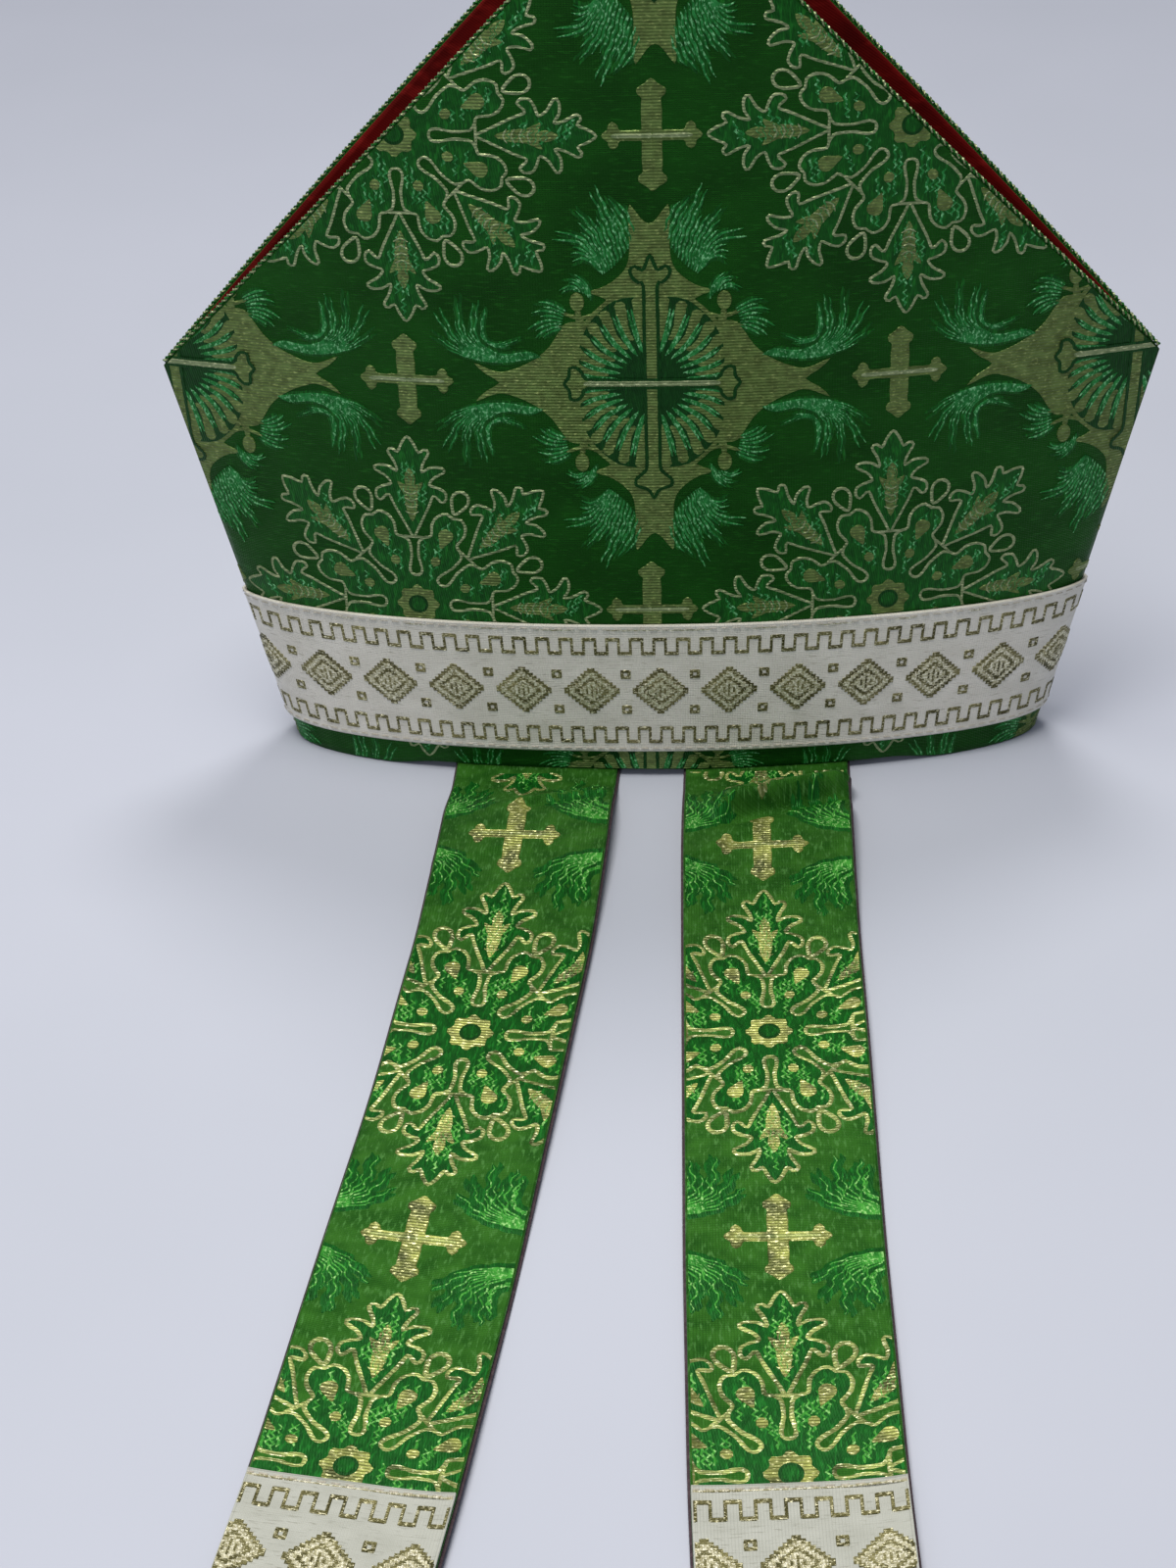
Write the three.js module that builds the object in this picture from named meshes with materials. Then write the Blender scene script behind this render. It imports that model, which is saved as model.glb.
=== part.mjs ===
import * as THREE from 'three';

// A bishop's mitre, standing on its rim, seen from behind.
// Millimetres, +Z up, +X to the right as seen from behind, the back of the mitre towards -Y.
// Two stiffened brocade panels meet at the side seams and spring apart above them as two horns.
// A folded red lining joins the horns, a galloon goes round the base, and two lappets come out
// from under the back rim and lie in front of it.

// The crown: half sizes of its section at the rim, at the side corners and at the tips
const RIM_HALF_WIDTH = 138;
const RIM_HALF_DEPTH = 32;
const CORNER_HEIGHT = 154;
const CORNER_HALF_WIDTH = 171;
const TIP_HEIGHT = 333;
const TIP_HALF_DEPTH = 20;
const TIP_BLUNTING = 3;

// The slanted edges of the two horns spring apart quickly above the corners: half their distance
// at the tips, and how strongly the opening comes first
const HORN_EDGE_DEPTH = 18;
const EDGE_SPRING = 2.8;

// Cloth and stiffener
const PANEL_WALL = 2;
const LINING_WALL = 1;
const GALLOON_WALL = 1;
const LAPPET_WALL = 1;
const CLOTH_GAP = 0.3;

// The galloon round the base
const GALLOON_WIDTH = 52;
const GALLOON_HEIGHT = 11;
const GALLOON_CLEARANCE = 0.5;

// The lappets: their rows below are measured from the middle of the crown
const LAPPET_HALF_WIDTH = 29.3;
const LAPPET_LINING_MARGIN = 0.8;
const LAPPET_TOP_HEIGHT = 26;
const LAPPET_END = 420;
const LAPPET_HUMP = 6;
const LAPPET_HUMP_START = 36;
const LAPPET_HUMP_PEAK = 66;
const LAPPET_HUMP_END = 140;
const LAPPET_END_HEM = 3;
const LAPPET_STACK = 2 * LAPPET_WALL + CLOTH_GAP;

// The back rim rises just enough for the lappets to pass under it
const RIM_ARCH = LAPPET_STACK + CLOTH_GAP;
const RIM_ARCH_FLAT = 82;
const RIM_ARCH_END = 104;

// How many facets each form has
const PANEL_COLUMNS = 28;
const LINING_COLUMNS = 24;
const LAPPET_COLUMNS = 6;

// Heights of the rows of facets, as shares of the way from the corners to the tips
const HORN_ROWS = [0.045, 0.09, 0.14, 0.2, 0.27, 0.35, 0.45, 0.6, 0.8];

// Where each lappet lies: distance behind the middle, sideways place of its centre, and turn
const LAPPETS = {
  left: [
    { behind: 30, centre: -46.7, turn: 0 },
    { behind: 80, centre: -49.6, turn: -3 },
    { behind: 127, centre: -53.7, turn: -5 },
    { behind: 205, centre: -62.8, turn: -7 },
    { behind: 283, centre: -72.6, turn: -8 },
    { behind: 363, centre: -83.8, turn: -10 },
    { behind: LAPPET_END, centre: -93.6, turn: -10.5 },
  ],
  right: [
    { behind: 30, centre: 37.3, turn: 0 },
    { behind: 80, centre: 36.2, turn: 0 },
    { behind: 127, centre: 36.1, turn: 0 },
    { behind: 205, centre: 36.2, turn: 0.5 },
    { behind: 283, centre: 36.3, turn: 1.5 },
    { behind: 363, centre: 37.2, turn: 3.5 },
    { behind: LAPPET_END, centre: 38.9, turn: 4 },
  ],
};

const BROCADE = { color: 0x1b4f24, roughness: 0.55, metalness: 0.1 };
const RED_SATIN = { color: 0x6e0d18, roughness: 0.6, metalness: 0 };
const GALLOON = { color: 0xb9aea4, roughness: 0.6, metalness: 0 };
const EDGE_CLOTH = { color: 0x4a3037, roughness: 0.7, metalness: 0 };

function mix(from, to, share) {
  return from + (to - from) * share;
}

function eased(share) {
  const s = THREE.MathUtils.clamp(share, 0, 1);
  return s * s * (3 - 2 * s);
}

// The crown's level section: half an oval at the rim that tightens to a crease at the corners,
// and above them a shallow arch between the two slanted edges of the horn.
function sectionAt(height) {
  const depth = mix(TIP_HALF_DEPTH, RIM_HALF_DEPTH, (1 - height / TIP_HEIGHT) ** 2);
  if (height <= CORNER_HEIGHT) {
    const rise = height / CORNER_HEIGHT;
    const halfWidth = mix(RIM_HALF_WIDTH, CORNER_HALF_WIDTH, rise);
    return { halfWidth, depth, roundness: 0.5 + 0.5 * rise ** 1.5, edgeDepth: 0 };
  }
  const fall = (TIP_HEIGHT - height) / (TIP_HEIGHT - CORNER_HEIGHT);
  const edgeDepth = HORN_EDGE_DEPTH * (1 - fall ** EDGE_SPRING);
  return { halfWidth: CORNER_HALF_WIDTH * fall, depth, roundness: 1, edgeDepth };
}

// How wide a layer of the crown is that lies so far inside the outer face
function layerHalfWidth(height, inset) {
  const section = sectionAt(height);
  if (inset <= 0) {
    return section.halfWidth - inset;
  }
  const lost = Math.max(inset - section.edgeDepth, 0) / (section.depth - section.edgeDepth);
  const reach = section.halfWidth * Math.sqrt(1 - lost ** (1 / section.roundness));
  return height < CORNER_HEIGHT ? Math.min(reach, section.halfWidth - inset) : reach;
}

// How far that layer is from the middle plane, at a share across from -1 to 1
function layerDepth(height, inset, across) {
  const section = sectionAt(height);
  const edge = Math.max(section.edgeDepth - inset, 0);
  const arch = (1 - across * across) ** section.roundness;
  return edge + (section.depth - inset - edge) * arch;
}

// A closed solid between two faces, each a grid of points; a loop has no ends across
function sheetSolid(rows, columns, isLoop, pointAt) {
  const positions = [];
  for (const face of [0, 1]) {
    for (let row = 0; row < rows; row += 1) {
      for (let column = 0; column < columns; column += 1) {
        positions.push(...pointAt(face, row, column));
      }
    }
  }
  const vertex = (face, row, column) => (face * rows + row) * columns + (column % columns);
  const triangles = [];
  const quad = (a, b, c, d) => triangles.push(a, b, c, a, c, d);
  const strips = isLoop ? columns : columns - 1;
  for (let column = 0; column < strips; column += 1) {
    const next = column + 1;
    for (let row = 0; row < rows - 1; row += 1) {
      const above = row + 1;
      quad(vertex(0, row, column), vertex(0, row, next), vertex(0, above, next), vertex(0, above, column));
      quad(vertex(1, row, column), vertex(1, above, column), vertex(1, above, next), vertex(1, row, next));
    }
    const last = rows - 1;
    quad(vertex(0, 0, column), vertex(1, 0, column), vertex(1, 0, next), vertex(0, 0, next));
    quad(vertex(0, last, column), vertex(0, last, next), vertex(1, last, next), vertex(1, last, column));
  }
  if (!isLoop) {
    const end = columns - 1;
    for (let row = 0; row < rows - 1; row += 1) {
      quad(vertex(0, row, 0), vertex(0, row + 1, 0), vertex(1, row + 1, 0), vertex(1, row, 0));
      quad(vertex(0, row, end), vertex(1, row, end), vertex(1, row + 1, end), vertex(0, row + 1, end));
    }
  }
  return closedGeometry(positions, triangles);
}

// The faces are turned round where the grid's winding points them inwards
function closedGeometry(positions, triangles) {
  const corner = (index) => new THREE.Vector3().fromArray(positions, 3 * index);
  let volume = 0;
  for (let i = 0; i < triangles.length; i += 3) {
    const normal = corner(triangles[i + 1]).cross(corner(triangles[i + 2]));
    volume += corner(triangles[i]).dot(normal);
  }
  if (volume < 0) {
    triangles.reverse();
  }
  const geometry = new THREE.BufferGeometry();
  geometry.setAttribute('position', new THREE.Float32BufferAttribute(positions, 3));
  geometry.setIndex(triangles);
  geometry.computeVertexNormals();
  return geometry;
}

function namedMesh(name, geometry, finish) {
  const mesh = new THREE.Mesh(geometry, new THREE.MeshStandardMaterial(finish));
  mesh.name = name;
  return mesh;
}

const galloonTop = GALLOON_HEIGHT + GALLOON_WIDTH;
const galloonLevels = [GALLOON_HEIGHT, GALLOON_HEIGHT + GALLOON_WIDTH / 2, galloonTop];
const hornLevels = HORN_ROWS.map((share) => mix(CORNER_HEIGHT, TIP_HEIGHT, share));
const tipLevel = TIP_HEIGHT - TIP_BLUNTING;
const sideLevels = [mix(galloonTop, CORNER_HEIGHT, 0.35), mix(galloonTop, CORNER_HEIGHT, 0.7)];
const panelLevels = [0, ...galloonLevels, ...sideLevels, CORNER_HEIGHT, ...hornLevels, tipLevel];

// Columns lie closer together towards the sides, where the oval turns
function acrossShare(column, columns) {
  return Math.sin(Math.PI * (column / (columns - 1) - 0.5));
}

function rimArch(x) {
  return RIM_ARCH * (1 - eased((Math.abs(x) - RIM_ARCH_FLAT) / (RIM_ARCH_END - RIM_ARCH_FLAT)));
}

// A panel: five-sided brocade over a stiffener; side is -1 at the back and 1 at the front
function crownPanel(name, side) {
  const columns = PANEL_COLUMNS + 1;
  const pointAt = (face, row, column) => {
    const inset = face * PANEL_WALL;
    const height = panelLevels[row];
    const across = acrossShare(column, columns);
    const x = across * layerHalfWidth(height, inset);
    const y = side * (CLOTH_GAP / 2 + layerDepth(height, inset, across));
    const lift = row === 0 && side < 0 ? rimArch(x) : 0;
    return [x, y, height + lift];
  };
  return namedMesh(name, sheetSolid(panelLevels.length, columns, false, pointAt), BROCADE);
}

// The galloon: one loop round both panels
function galloonBand() {
  const columns = 2 * PANEL_COLUMNS;
  const pointAt = (face, row, column) => {
    const inset = -GALLOON_CLEARANCE - (1 - face) * GALLOON_WALL;
    const height = galloonLevels[row];
    const isFront = column > PANEL_COLUMNS;
    const along = isFront ? columns - column : column;
    const across = acrossShare(along, PANEL_COLUMNS + 1);
    const x = across * layerHalfWidth(height, inset);
    const y = (isFront ? 1 : -1) * layerDepth(height, inset, across);
    return [x, y, height];
  };
  return namedMesh('galloon_band', sheetSolid(galloonLevels.length, columns, true, pointAt), GALLOON);
}

// The red lining between the horns: its two leaves are caught in the horns' edges and hang
// from them to a fold that runs from one side corner to the other.
function hornLining() {
  const outer = PANEL_WALL + CLOTH_GAP;
  const inner = outer + LINING_WALL;
  const levels = [...hornLevels.slice(1), tipLevel];
  const leaf = levels.length;
  const rows = 2 * leaf + 1;
  const columns = LINING_COLUMNS + 1;
  const foldHeight = CORNER_HEIGHT + 2;
  const foldThickness = 7;
  const pointAt = (face, row, column) => {
    const across = mix(-1, 1, column / LINING_COLUMNS);
    if (row === leaf) {
      const x = across * layerHalfWidth(levels[0], inner + CLOTH_GAP);
      return [x, 0, foldHeight + face * foldThickness];
    }
    const side = row < leaf ? -1 : 1;
    const height = levels[row < leaf ? leaf - 1 - row : row - leaf - 1];
    const halfWidth = layerHalfWidth(height, inner + CLOTH_GAP);
    const x = across * halfWidth;
    const section = sectionAt(height);
    const rise = (height - CORNER_HEIGHT) / (TIP_HEIGHT - CORNER_HEIGHT);
    const valley = (section.depth - outer - 1) * rise ** 0.8;
    const panelFace = layerDepth(height, outer, x / layerHalfWidth(height, outer));
    const atEdge = Math.abs(across) ** 3;
    const depth = Math.min(mix(valley, panelFace, atEdge), panelFace);
    return [x, side * Math.max(depth - face * LINING_WALL, CLOTH_GAP / 2), height];
  };
  return namedMesh('horn_lining', sheetSolid(rows, columns, false, pointAt), RED_SATIN);
}

// The row of a lappet's table at any distance, between the rows that are given
function lappetRow(table, behind) {
  const next = Math.max(1, table.findIndex((row) => row.behind >= behind));
  const from = table[next - 1];
  const to = table[next];
  const share = (behind - from.behind) / (to.behind - from.behind);
  return { centre: mix(from.centre, to.centre, share), turn: mix(from.turn, to.turn, share) };
}

function lappetHump(behind) {
  const rise = eased((behind - LAPPET_HUMP_START) / (LAPPET_HUMP_PEAK - LAPPET_HUMP_START));
  const fall = eased((behind - LAPPET_HUMP_PEAK) / (LAPPET_HUMP_END - LAPPET_HUMP_PEAK));
  return LAPPET_HUMP * rise * (1 - fall);
}

// A point of a lappet where it lies: across from -1 to 1, and so far above the floor
function lyingPoint(table, behind, across, halfWidth, above) {
  const { centre, turn } = lappetRow(table, behind);
  const angle = THREE.MathUtils.degToRad(turn);
  const x = centre + across * halfWidth * Math.cos(angle);
  const y = -behind + across * halfWidth * Math.sin(angle);
  return [x, y, above + lappetHump(-y)];
}

// One layer of a lappet, from its sewn end inside the crown, round the rim and out over the floor
function lappetLayer(name, table, halfWidth, depth, finish) {
  const climb = [LAPPET_TOP_HEIGHT, mix(LAPPET_TOP_HEIGHT, RIM_ARCH, 0.5), RIM_ARCH];
  const bend = [30, 60, 90];
  const lying = [40, 48, 56, 64, 76, 88, 100, 114, 127, 150, 178, 205, 244, 283, 323, 363, LAPPET_END];
  const rows = climb.length + bend.length + lying.length;
  const pointAt = (face, row, column) => {
    const across = mix(-1, 1, column / LAPPET_COLUMNS);
    const inward = CLOTH_GAP + depth + face * LAPPET_WALL;
    const { centre } = table[0];
    const x = centre + across * halfWidth;
    const height = climb[Math.min(row, climb.length - 1)];
    const shareOfPanel = x / layerHalfWidth(height, PANEL_WALL);
    const panelFace = CLOTH_GAP / 2 + layerDepth(height, PANEL_WALL, shareOfPanel);
    if (row < climb.length) {
      return [x, inward - panelFace, height];
    }
    if (row < climb.length + bend.length) {
      const angle = THREE.MathUtils.degToRad(bend[row - climb.length]);
      return [x, inward * Math.cos(angle) - panelFace, RIM_ARCH - inward * Math.sin(angle)];
    }
    const behind = lying[row - climb.length - bend.length];
    return lyingPoint(table, behind, across, halfWidth, RIM_ARCH - inward);
  };
  return namedMesh(name, sheetSolid(rows, LAPPET_COLUMNS + 1, false, pointAt), finish);
}

// The galloon sewn across the lower end of a lappet
function lappetGalloon(name, table) {
  const end = LAPPET_END - LAPPET_END_HEM;
  const levels = [end - GALLOON_WIDTH, end - GALLOON_WIDTH / 2, end];
  const floorHeight = RIM_ARCH + GALLOON_WALL;
  const pointAt = (face, row, column) => {
    const across = mix(-1, 1, column / LAPPET_COLUMNS);
    return lyingPoint(table, levels[row], across, LAPPET_HALF_WIDTH, floorHeight - face * GALLOON_WALL);
  };
  return namedMesh(name, sheetSolid(levels.length, LAPPET_COLUMNS + 1, false, pointAt), GALLOON);
}

const mitre = new THREE.Group();
mitre.add(crownPanel('back_panel', -1));
mitre.add(crownPanel('front_panel', 1));
mitre.add(galloonBand());
mitre.add(hornLining());
for (const [side, table] of Object.entries(LAPPETS)) {
  const liningHalfWidth = LAPPET_HALF_WIDTH + LAPPET_LINING_MARGIN;
  const liningDepth = LAPPET_WALL + CLOTH_GAP;
  mitre.add(lappetLayer(`lappet_${side}`, table, LAPPET_HALF_WIDTH, 0, BROCADE));
  mitre.add(lappetLayer(`lappet_lining_${side}`, table, liningHalfWidth, liningDepth, EDGE_CLOTH));
  mitre.add(lappetGalloon(`lappet_galloon_${side}`, table));
}

// The origin is in the middle of the floor that the whole mitre covers
const widestTurn = THREE.MathUtils.degToRad(LAPPETS.left.at(-1).turn);
const reachBehind = LAPPET_END + (LAPPET_HALF_WIDTH + LAPPET_LINING_MARGIN) * Math.sin(-widestTurn);
const reachInFront = layerDepth(GALLOON_HEIGHT, -GALLOON_CLEARANCE - GALLOON_WALL, 0);
mitre.position.y = (reachBehind - reachInFront) / 2;

export default mitre;
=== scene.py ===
import math

import bmesh
import bpy
import numpy as np
from mathutils import Matrix, Vector
from mathutils.geometry import delaunay_2d_cdt


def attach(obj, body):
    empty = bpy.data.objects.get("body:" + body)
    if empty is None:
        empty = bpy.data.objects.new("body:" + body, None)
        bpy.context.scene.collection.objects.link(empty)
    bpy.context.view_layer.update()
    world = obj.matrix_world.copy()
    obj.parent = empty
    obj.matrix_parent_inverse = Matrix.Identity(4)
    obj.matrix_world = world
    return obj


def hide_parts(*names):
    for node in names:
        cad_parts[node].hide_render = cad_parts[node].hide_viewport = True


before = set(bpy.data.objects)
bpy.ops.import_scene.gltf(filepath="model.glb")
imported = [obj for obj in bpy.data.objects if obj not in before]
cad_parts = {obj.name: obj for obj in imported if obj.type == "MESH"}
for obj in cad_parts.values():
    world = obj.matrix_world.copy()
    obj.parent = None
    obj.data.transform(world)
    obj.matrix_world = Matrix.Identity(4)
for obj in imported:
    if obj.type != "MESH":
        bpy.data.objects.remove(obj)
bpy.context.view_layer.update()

# Camera
# Behind the mitre, looking down at its back and along the two lappets, as in the photograph:
# 36 degrees down, from a little right of the middle, turned a little left and a little rolled.

LOOK_DOWN = 36
TURN_LEFT = 2.7
ROLL = -2.2
camera_data = bpy.data.cameras.new("camera")
camera_data.lens = 65.25
camera = bpy.data.objects.new("camera", camera_data)
bpy.context.scene.collection.objects.link(camera)
camera.location = (0.0115, -0.6795, 0.6098)
camera.rotation_euler = (
    Matrix.Rotation(math.radians(TURN_LEFT), 3, "Z")
    @ Matrix.Rotation(math.radians(90 - LOOK_DOWN), 3, "X")
    @ Matrix.Rotation(math.radians(ROLL), 3, "Z")
).to_euler()
bpy.context.scene.camera = camera

# Floor and light
# A smooth pale board. A broad lamp hangs over the lappets and one behind the mitre lights what lies flat, so
# the upright back stays darker than the lappets; the cloth is also painted in lighter copies for the lappets
# and darker ones for the crown.

MM = 0.001


def linear(code):
    """The linear colour of an sRGB hex value."""
    channels = [int(code[i : i + 2], 16) / 255 for i in (0, 2, 4)]
    return (*[c / 12.92 if c <= 0.04045 else ((c + 0.055) / 1.055) ** 2.4 for c in channels], 1)


def node(material, kind, inputs=None, **settings):
    """Adds a node; inputs maps each socket to a value or to the output that feeds it."""
    tree = material.node_tree
    made = tree.nodes.new("ShaderNode" + kind)
    for name, value in settings.items():
        setattr(made, name, value)
    for socket, value in (inputs or {}).items():
        if isinstance(value, bpy.types.NodeSocket):
            tree.links.new(value, made.inputs[socket])
        else:
            made.inputs[socket].default_value = value
    return made


def mesh_object(name, points, faces, materials, finish=None, flat=None, smooth=True):
    """A mesh in metres from points in millimetres; flat is each point's place on the cut cloth."""
    mesh = bpy.data.meshes.new(name)
    mesh.from_pydata((np.asarray(points) * MM).tolist(), [], faces)
    for material in materials:
        mesh.materials.append(material)
    if finish is not None:
        mesh.polygons.foreach_set("material_index", np.asarray(finish, dtype=np.int32))
    if flat is not None:
        corners = np.empty(len(mesh.loops), dtype=np.int32)
        mesh.loops.foreach_get("vertex_index", corners)
        layer = mesh.uv_layers.new(name="cut")
        layer.data.foreach_set("uv", np.asarray(flat, dtype=float)[corners].ravel())
    mesh.polygons.foreach_set("use_smooth", [smooth] * len(mesh.polygons))
    mesh.update()
    made = bpy.data.objects.new(name, mesh)
    bpy.context.scene.collection.objects.link(made)
    return made


def new_material(name):
    material = bpy.data.materials.new(name)
    material.use_nodes = True
    material.node_tree.nodes.clear()
    return material


# Painted board, rolled on: matt, with faint clouds of a darker and a lighter bluish grey
painted_board = new_material("painted_board")
board_place = node(painted_board, "TexCoord").outputs["Object"]
board_cloud = node(painted_board, "TexNoise", {"Vector": board_place, "Scale": 4.0, "Detail": 3.0})
board_colour = node(
    painted_board, "Mix", {"Factor": board_cloud.outputs["Fac"], 6: linear("b6bccb"), 7: linear("c2c7d7")},
    data_type="RGBA",
)
board_shader = node(
    painted_board, "BsdfPrincipled", {"Base Color": board_colour.outputs[2], "Roughness": 0.6}
)
node(painted_board, "OutputMaterial", {"Surface": board_shader.outputs["BSDF"]})

FLOOR_REACH = 3000
FLOOR_DROP = 0.3
FLOOR_CORNERS = ((-1, -1), (1, -1), (1, 1), (-1, 1))
floor_points = [(x * FLOOR_REACH, y * FLOOR_REACH, -FLOOR_DROP) for x, y in FLOOR_CORNERS]
floor = mesh_object("floor", floor_points, [(0, 1, 2, 3)], [painted_board])


def lamp(name, place, aim, size, power, colour):
    data = bpy.data.lights.new(name, "AREA")
    data.shape = "DISK"
    data.size = size
    data.energy = power
    data.color = linear(colour)[:3]
    made = bpy.data.objects.new(name, data)
    bpy.context.scene.collection.objects.link(made)
    made.location = place
    made.rotation_euler = (Vector(place) - Vector(aim)).to_track_quat("Z", "Y").to_euler()


lamp("overhead_lamp", (-0.3, -0.1, 1.7), (0, -0.1, 0), 1.0, 23, "fffaf0")
lamp("far_lamp", (0.15, 0.95, 1.9), (0, -0.1, 0.02), 0.6, 14, "fffbf4")
lamp("front_lamp", (-0.6, -1.7, 1.0), (0, 0.1, 0.15), 1.0, 5, "f2f5ff")

world = bpy.data.worlds.new("studio")
world.use_nodes = True
world.node_tree.nodes["Background"].inputs["Color"].default_value = linear("dfe3f0")
world.node_tree.nodes["Background"].inputs["Strength"].default_value = 0.26
bpy.context.scene.world = world
bpy.context.scene.view_settings.view_transform = "Standard"

# Back and front panels
# Each panel is green figured brocade mounted on a stiffener and lined, five-sided, with its
# point as the horn. The two are seamed along their short sides and spring apart above them.

CROWN_Y = 196.38
RIM_HALF_WIDTH = 138
RIM_DEPTH = 32
CORNER_HEIGHT = 154
CORNER_HALF_WIDTH = 171
TIP_HEIGHT = 333
TIP_DEPTH = 20
HORN_EDGE_DEPTH = 18
EDGE_SPRING = 2.8
TIP_RADIUS = 6
TIP_ROUND_START = 328.5
PANEL_TOP = 330.25
PANEL_WALL = 2
SEAM_HALF_GAP = 0.15
RIM_ARCH = 2.6
RIM_ARCH_FLAT = 82
RIM_ARCH_END = 104
RIM_ARCH_TOP = 11
GALLOON_LOW = 11
GALLOON_HIGH = 63


def mix(start, end, share):
    return start + (end - start) * share


def eased(share):
    share = np.clip(share, 0, 1)
    return share * share * (3 - 2 * share)


def crown_section(height):
    """Half width, depth, roundness and edge depth of the crown's level section."""
    height = np.asarray(height, dtype=float)
    depth = mix(TIP_DEPTH, RIM_DEPTH, (1 - height / TIP_HEIGHT) ** 2)
    rise = np.clip(height / CORNER_HEIGHT, 0, 1)
    fall = np.clip((TIP_HEIGHT - height) / (TIP_HEIGHT - CORNER_HEIGHT), 0, 1)
    below = mix(RIM_HALF_WIDTH, CORNER_HALF_WIDTH, rise)
    half_width = np.where(height <= CORNER_HEIGHT, below, CORNER_HALF_WIDTH * fall)
    tip_middle = PANEL_TOP + 0.05 - TIP_RADIUS
    tip_half_width = np.sqrt(np.clip(TIP_RADIUS**2 - (height - tip_middle) ** 2, 0.01, None))
    half_width = np.where(height > TIP_ROUND_START, tip_half_width, half_width)
    edge_depth = np.where(height <= CORNER_HEIGHT, 0, HORN_EDGE_DEPTH * (1 - fall**EDGE_SPRING))
    return half_width, depth, 0.5 + 0.5 * rise**1.5, edge_depth


def layer_half_width(height, inset):
    half_width, depth, roundness, edge_depth = crown_section(height)
    if inset <= 0:
        return half_width - inset
    lost = np.maximum(inset - edge_depth, 0) / (depth - edge_depth)
    reach = half_width * np.sqrt(1 - lost ** (1 / roundness))
    return np.where(height < CORNER_HEIGHT, np.minimum(reach, half_width - inset), reach)


def layer_depth(height, inset, across):
    _, depth, roundness, edge_depth = crown_section(height)
    edge = np.maximum(edge_depth - inset, 0)
    arch = np.clip(1 - across * across, 0, None) ** roundness
    return edge + (depth - inset - edge) * arch


# The cut of a panel: how far across the crown each share of the cloth's width comes to lie
CUT_HEIGHTS = np.concatenate([np.linspace(0, TIP_ROUND_START, 200), [329, 329.5, 329.9, 330.15, PANEL_TOP]])
CUT_SHARES = np.linspace(-1, 1, 401)


def cut_table(inset):
    across = np.sin(np.linspace(-math.pi / 2, math.pi / 2, 1201))
    table = []
    half_lengths = []
    for height in CUT_HEIGHTS:
        x = across * layer_half_width(height, inset)
        y = layer_depth(height, inset, across)
        arc = np.concatenate([[0], np.cumsum(np.hypot(np.diff(x), np.diff(y)))])
        half_lengths.append(arc[-1] / 2)
        table.append(np.interp(CUT_SHARES, arc / half_lengths[-1] - 1, across))
    return np.array(table), np.array(half_lengths)


def across_at(table, share, height):
    """Looks up a place across the crown in a cut table, between its rows and columns."""
    row = np.interp(height, CUT_HEIGHTS, np.arange(len(CUT_HEIGHTS)))
    column = (np.clip(share, -1, 1) + 1) * (len(CUT_SHARES) - 1) / 2
    i = np.minimum(row.astype(int), len(CUT_HEIGHTS) - 2)
    j = np.minimum(column.astype(int), len(CUT_SHARES) - 2)
    up = row - i
    on = column - j
    low = mix(table[i, j], table[i, j + 1], on)
    high = mix(table[i + 1, j], table[i + 1, j + 1], on)
    return mix(low, high, up)


panel_cut, panel_half_lengths = cut_table(0)


def panel_half_length(height):
    return np.interp(height, CUT_HEIGHTS, panel_half_lengths)


def ripple(u, v):
    """The slight unevenness of stiffened cloth, in millimetres."""
    slow = 0.3 * np.sin(u / 31 + v / 47) * np.cos(v / 38 - u / 90)
    quick = 0.1 * np.sin(u / 13 - v / 21 + 1.3) + 0.06 * np.sin(v / 9 + u / 27)
    return slow + quick


def rim_arch(x):
    return RIM_ARCH * (1 - eased((np.abs(x) - RIM_ARCH_FLAT) / (RIM_ARCH_END - RIM_ARCH_FLAT)))


def panel_place(side, inset=0):
    """Places cloth of the crown: side is -1 behind and 1 in front; u runs to the right there."""

    def place(u, v):
        share = u / panel_half_length(v)
        across = across_at(panel_cut, share, v)
        x = across * layer_half_width(v, inset)
        quiet = (1 - share**4) * np.clip((PANEL_TOP - v) / 20, 0, 1)
        y = SEAM_HALF_GAP + layer_depth(v, inset, across) + ripple(u, v) * quiet
        z = v
        if side < 0:
            z = v + rim_arch(x) * np.clip(1 - v / RIM_ARCH_TOP, 0, 1)
        return np.stack([-side * x, CROWN_Y + side * y, z], axis=-1)

    return place


def sheet_faces(rows, columns, is_loop=False):
    """The quads of a grid of points whose rows follow each other."""
    faces = []
    for row in range(rows - 1):
        for column in range(columns if is_loop else columns - 1):
            on = (column + 1) % columns
            a, b = row * columns + column, row * columns + on
            faces.append((a, b, b + columns, a + columns))
    return faces


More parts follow.
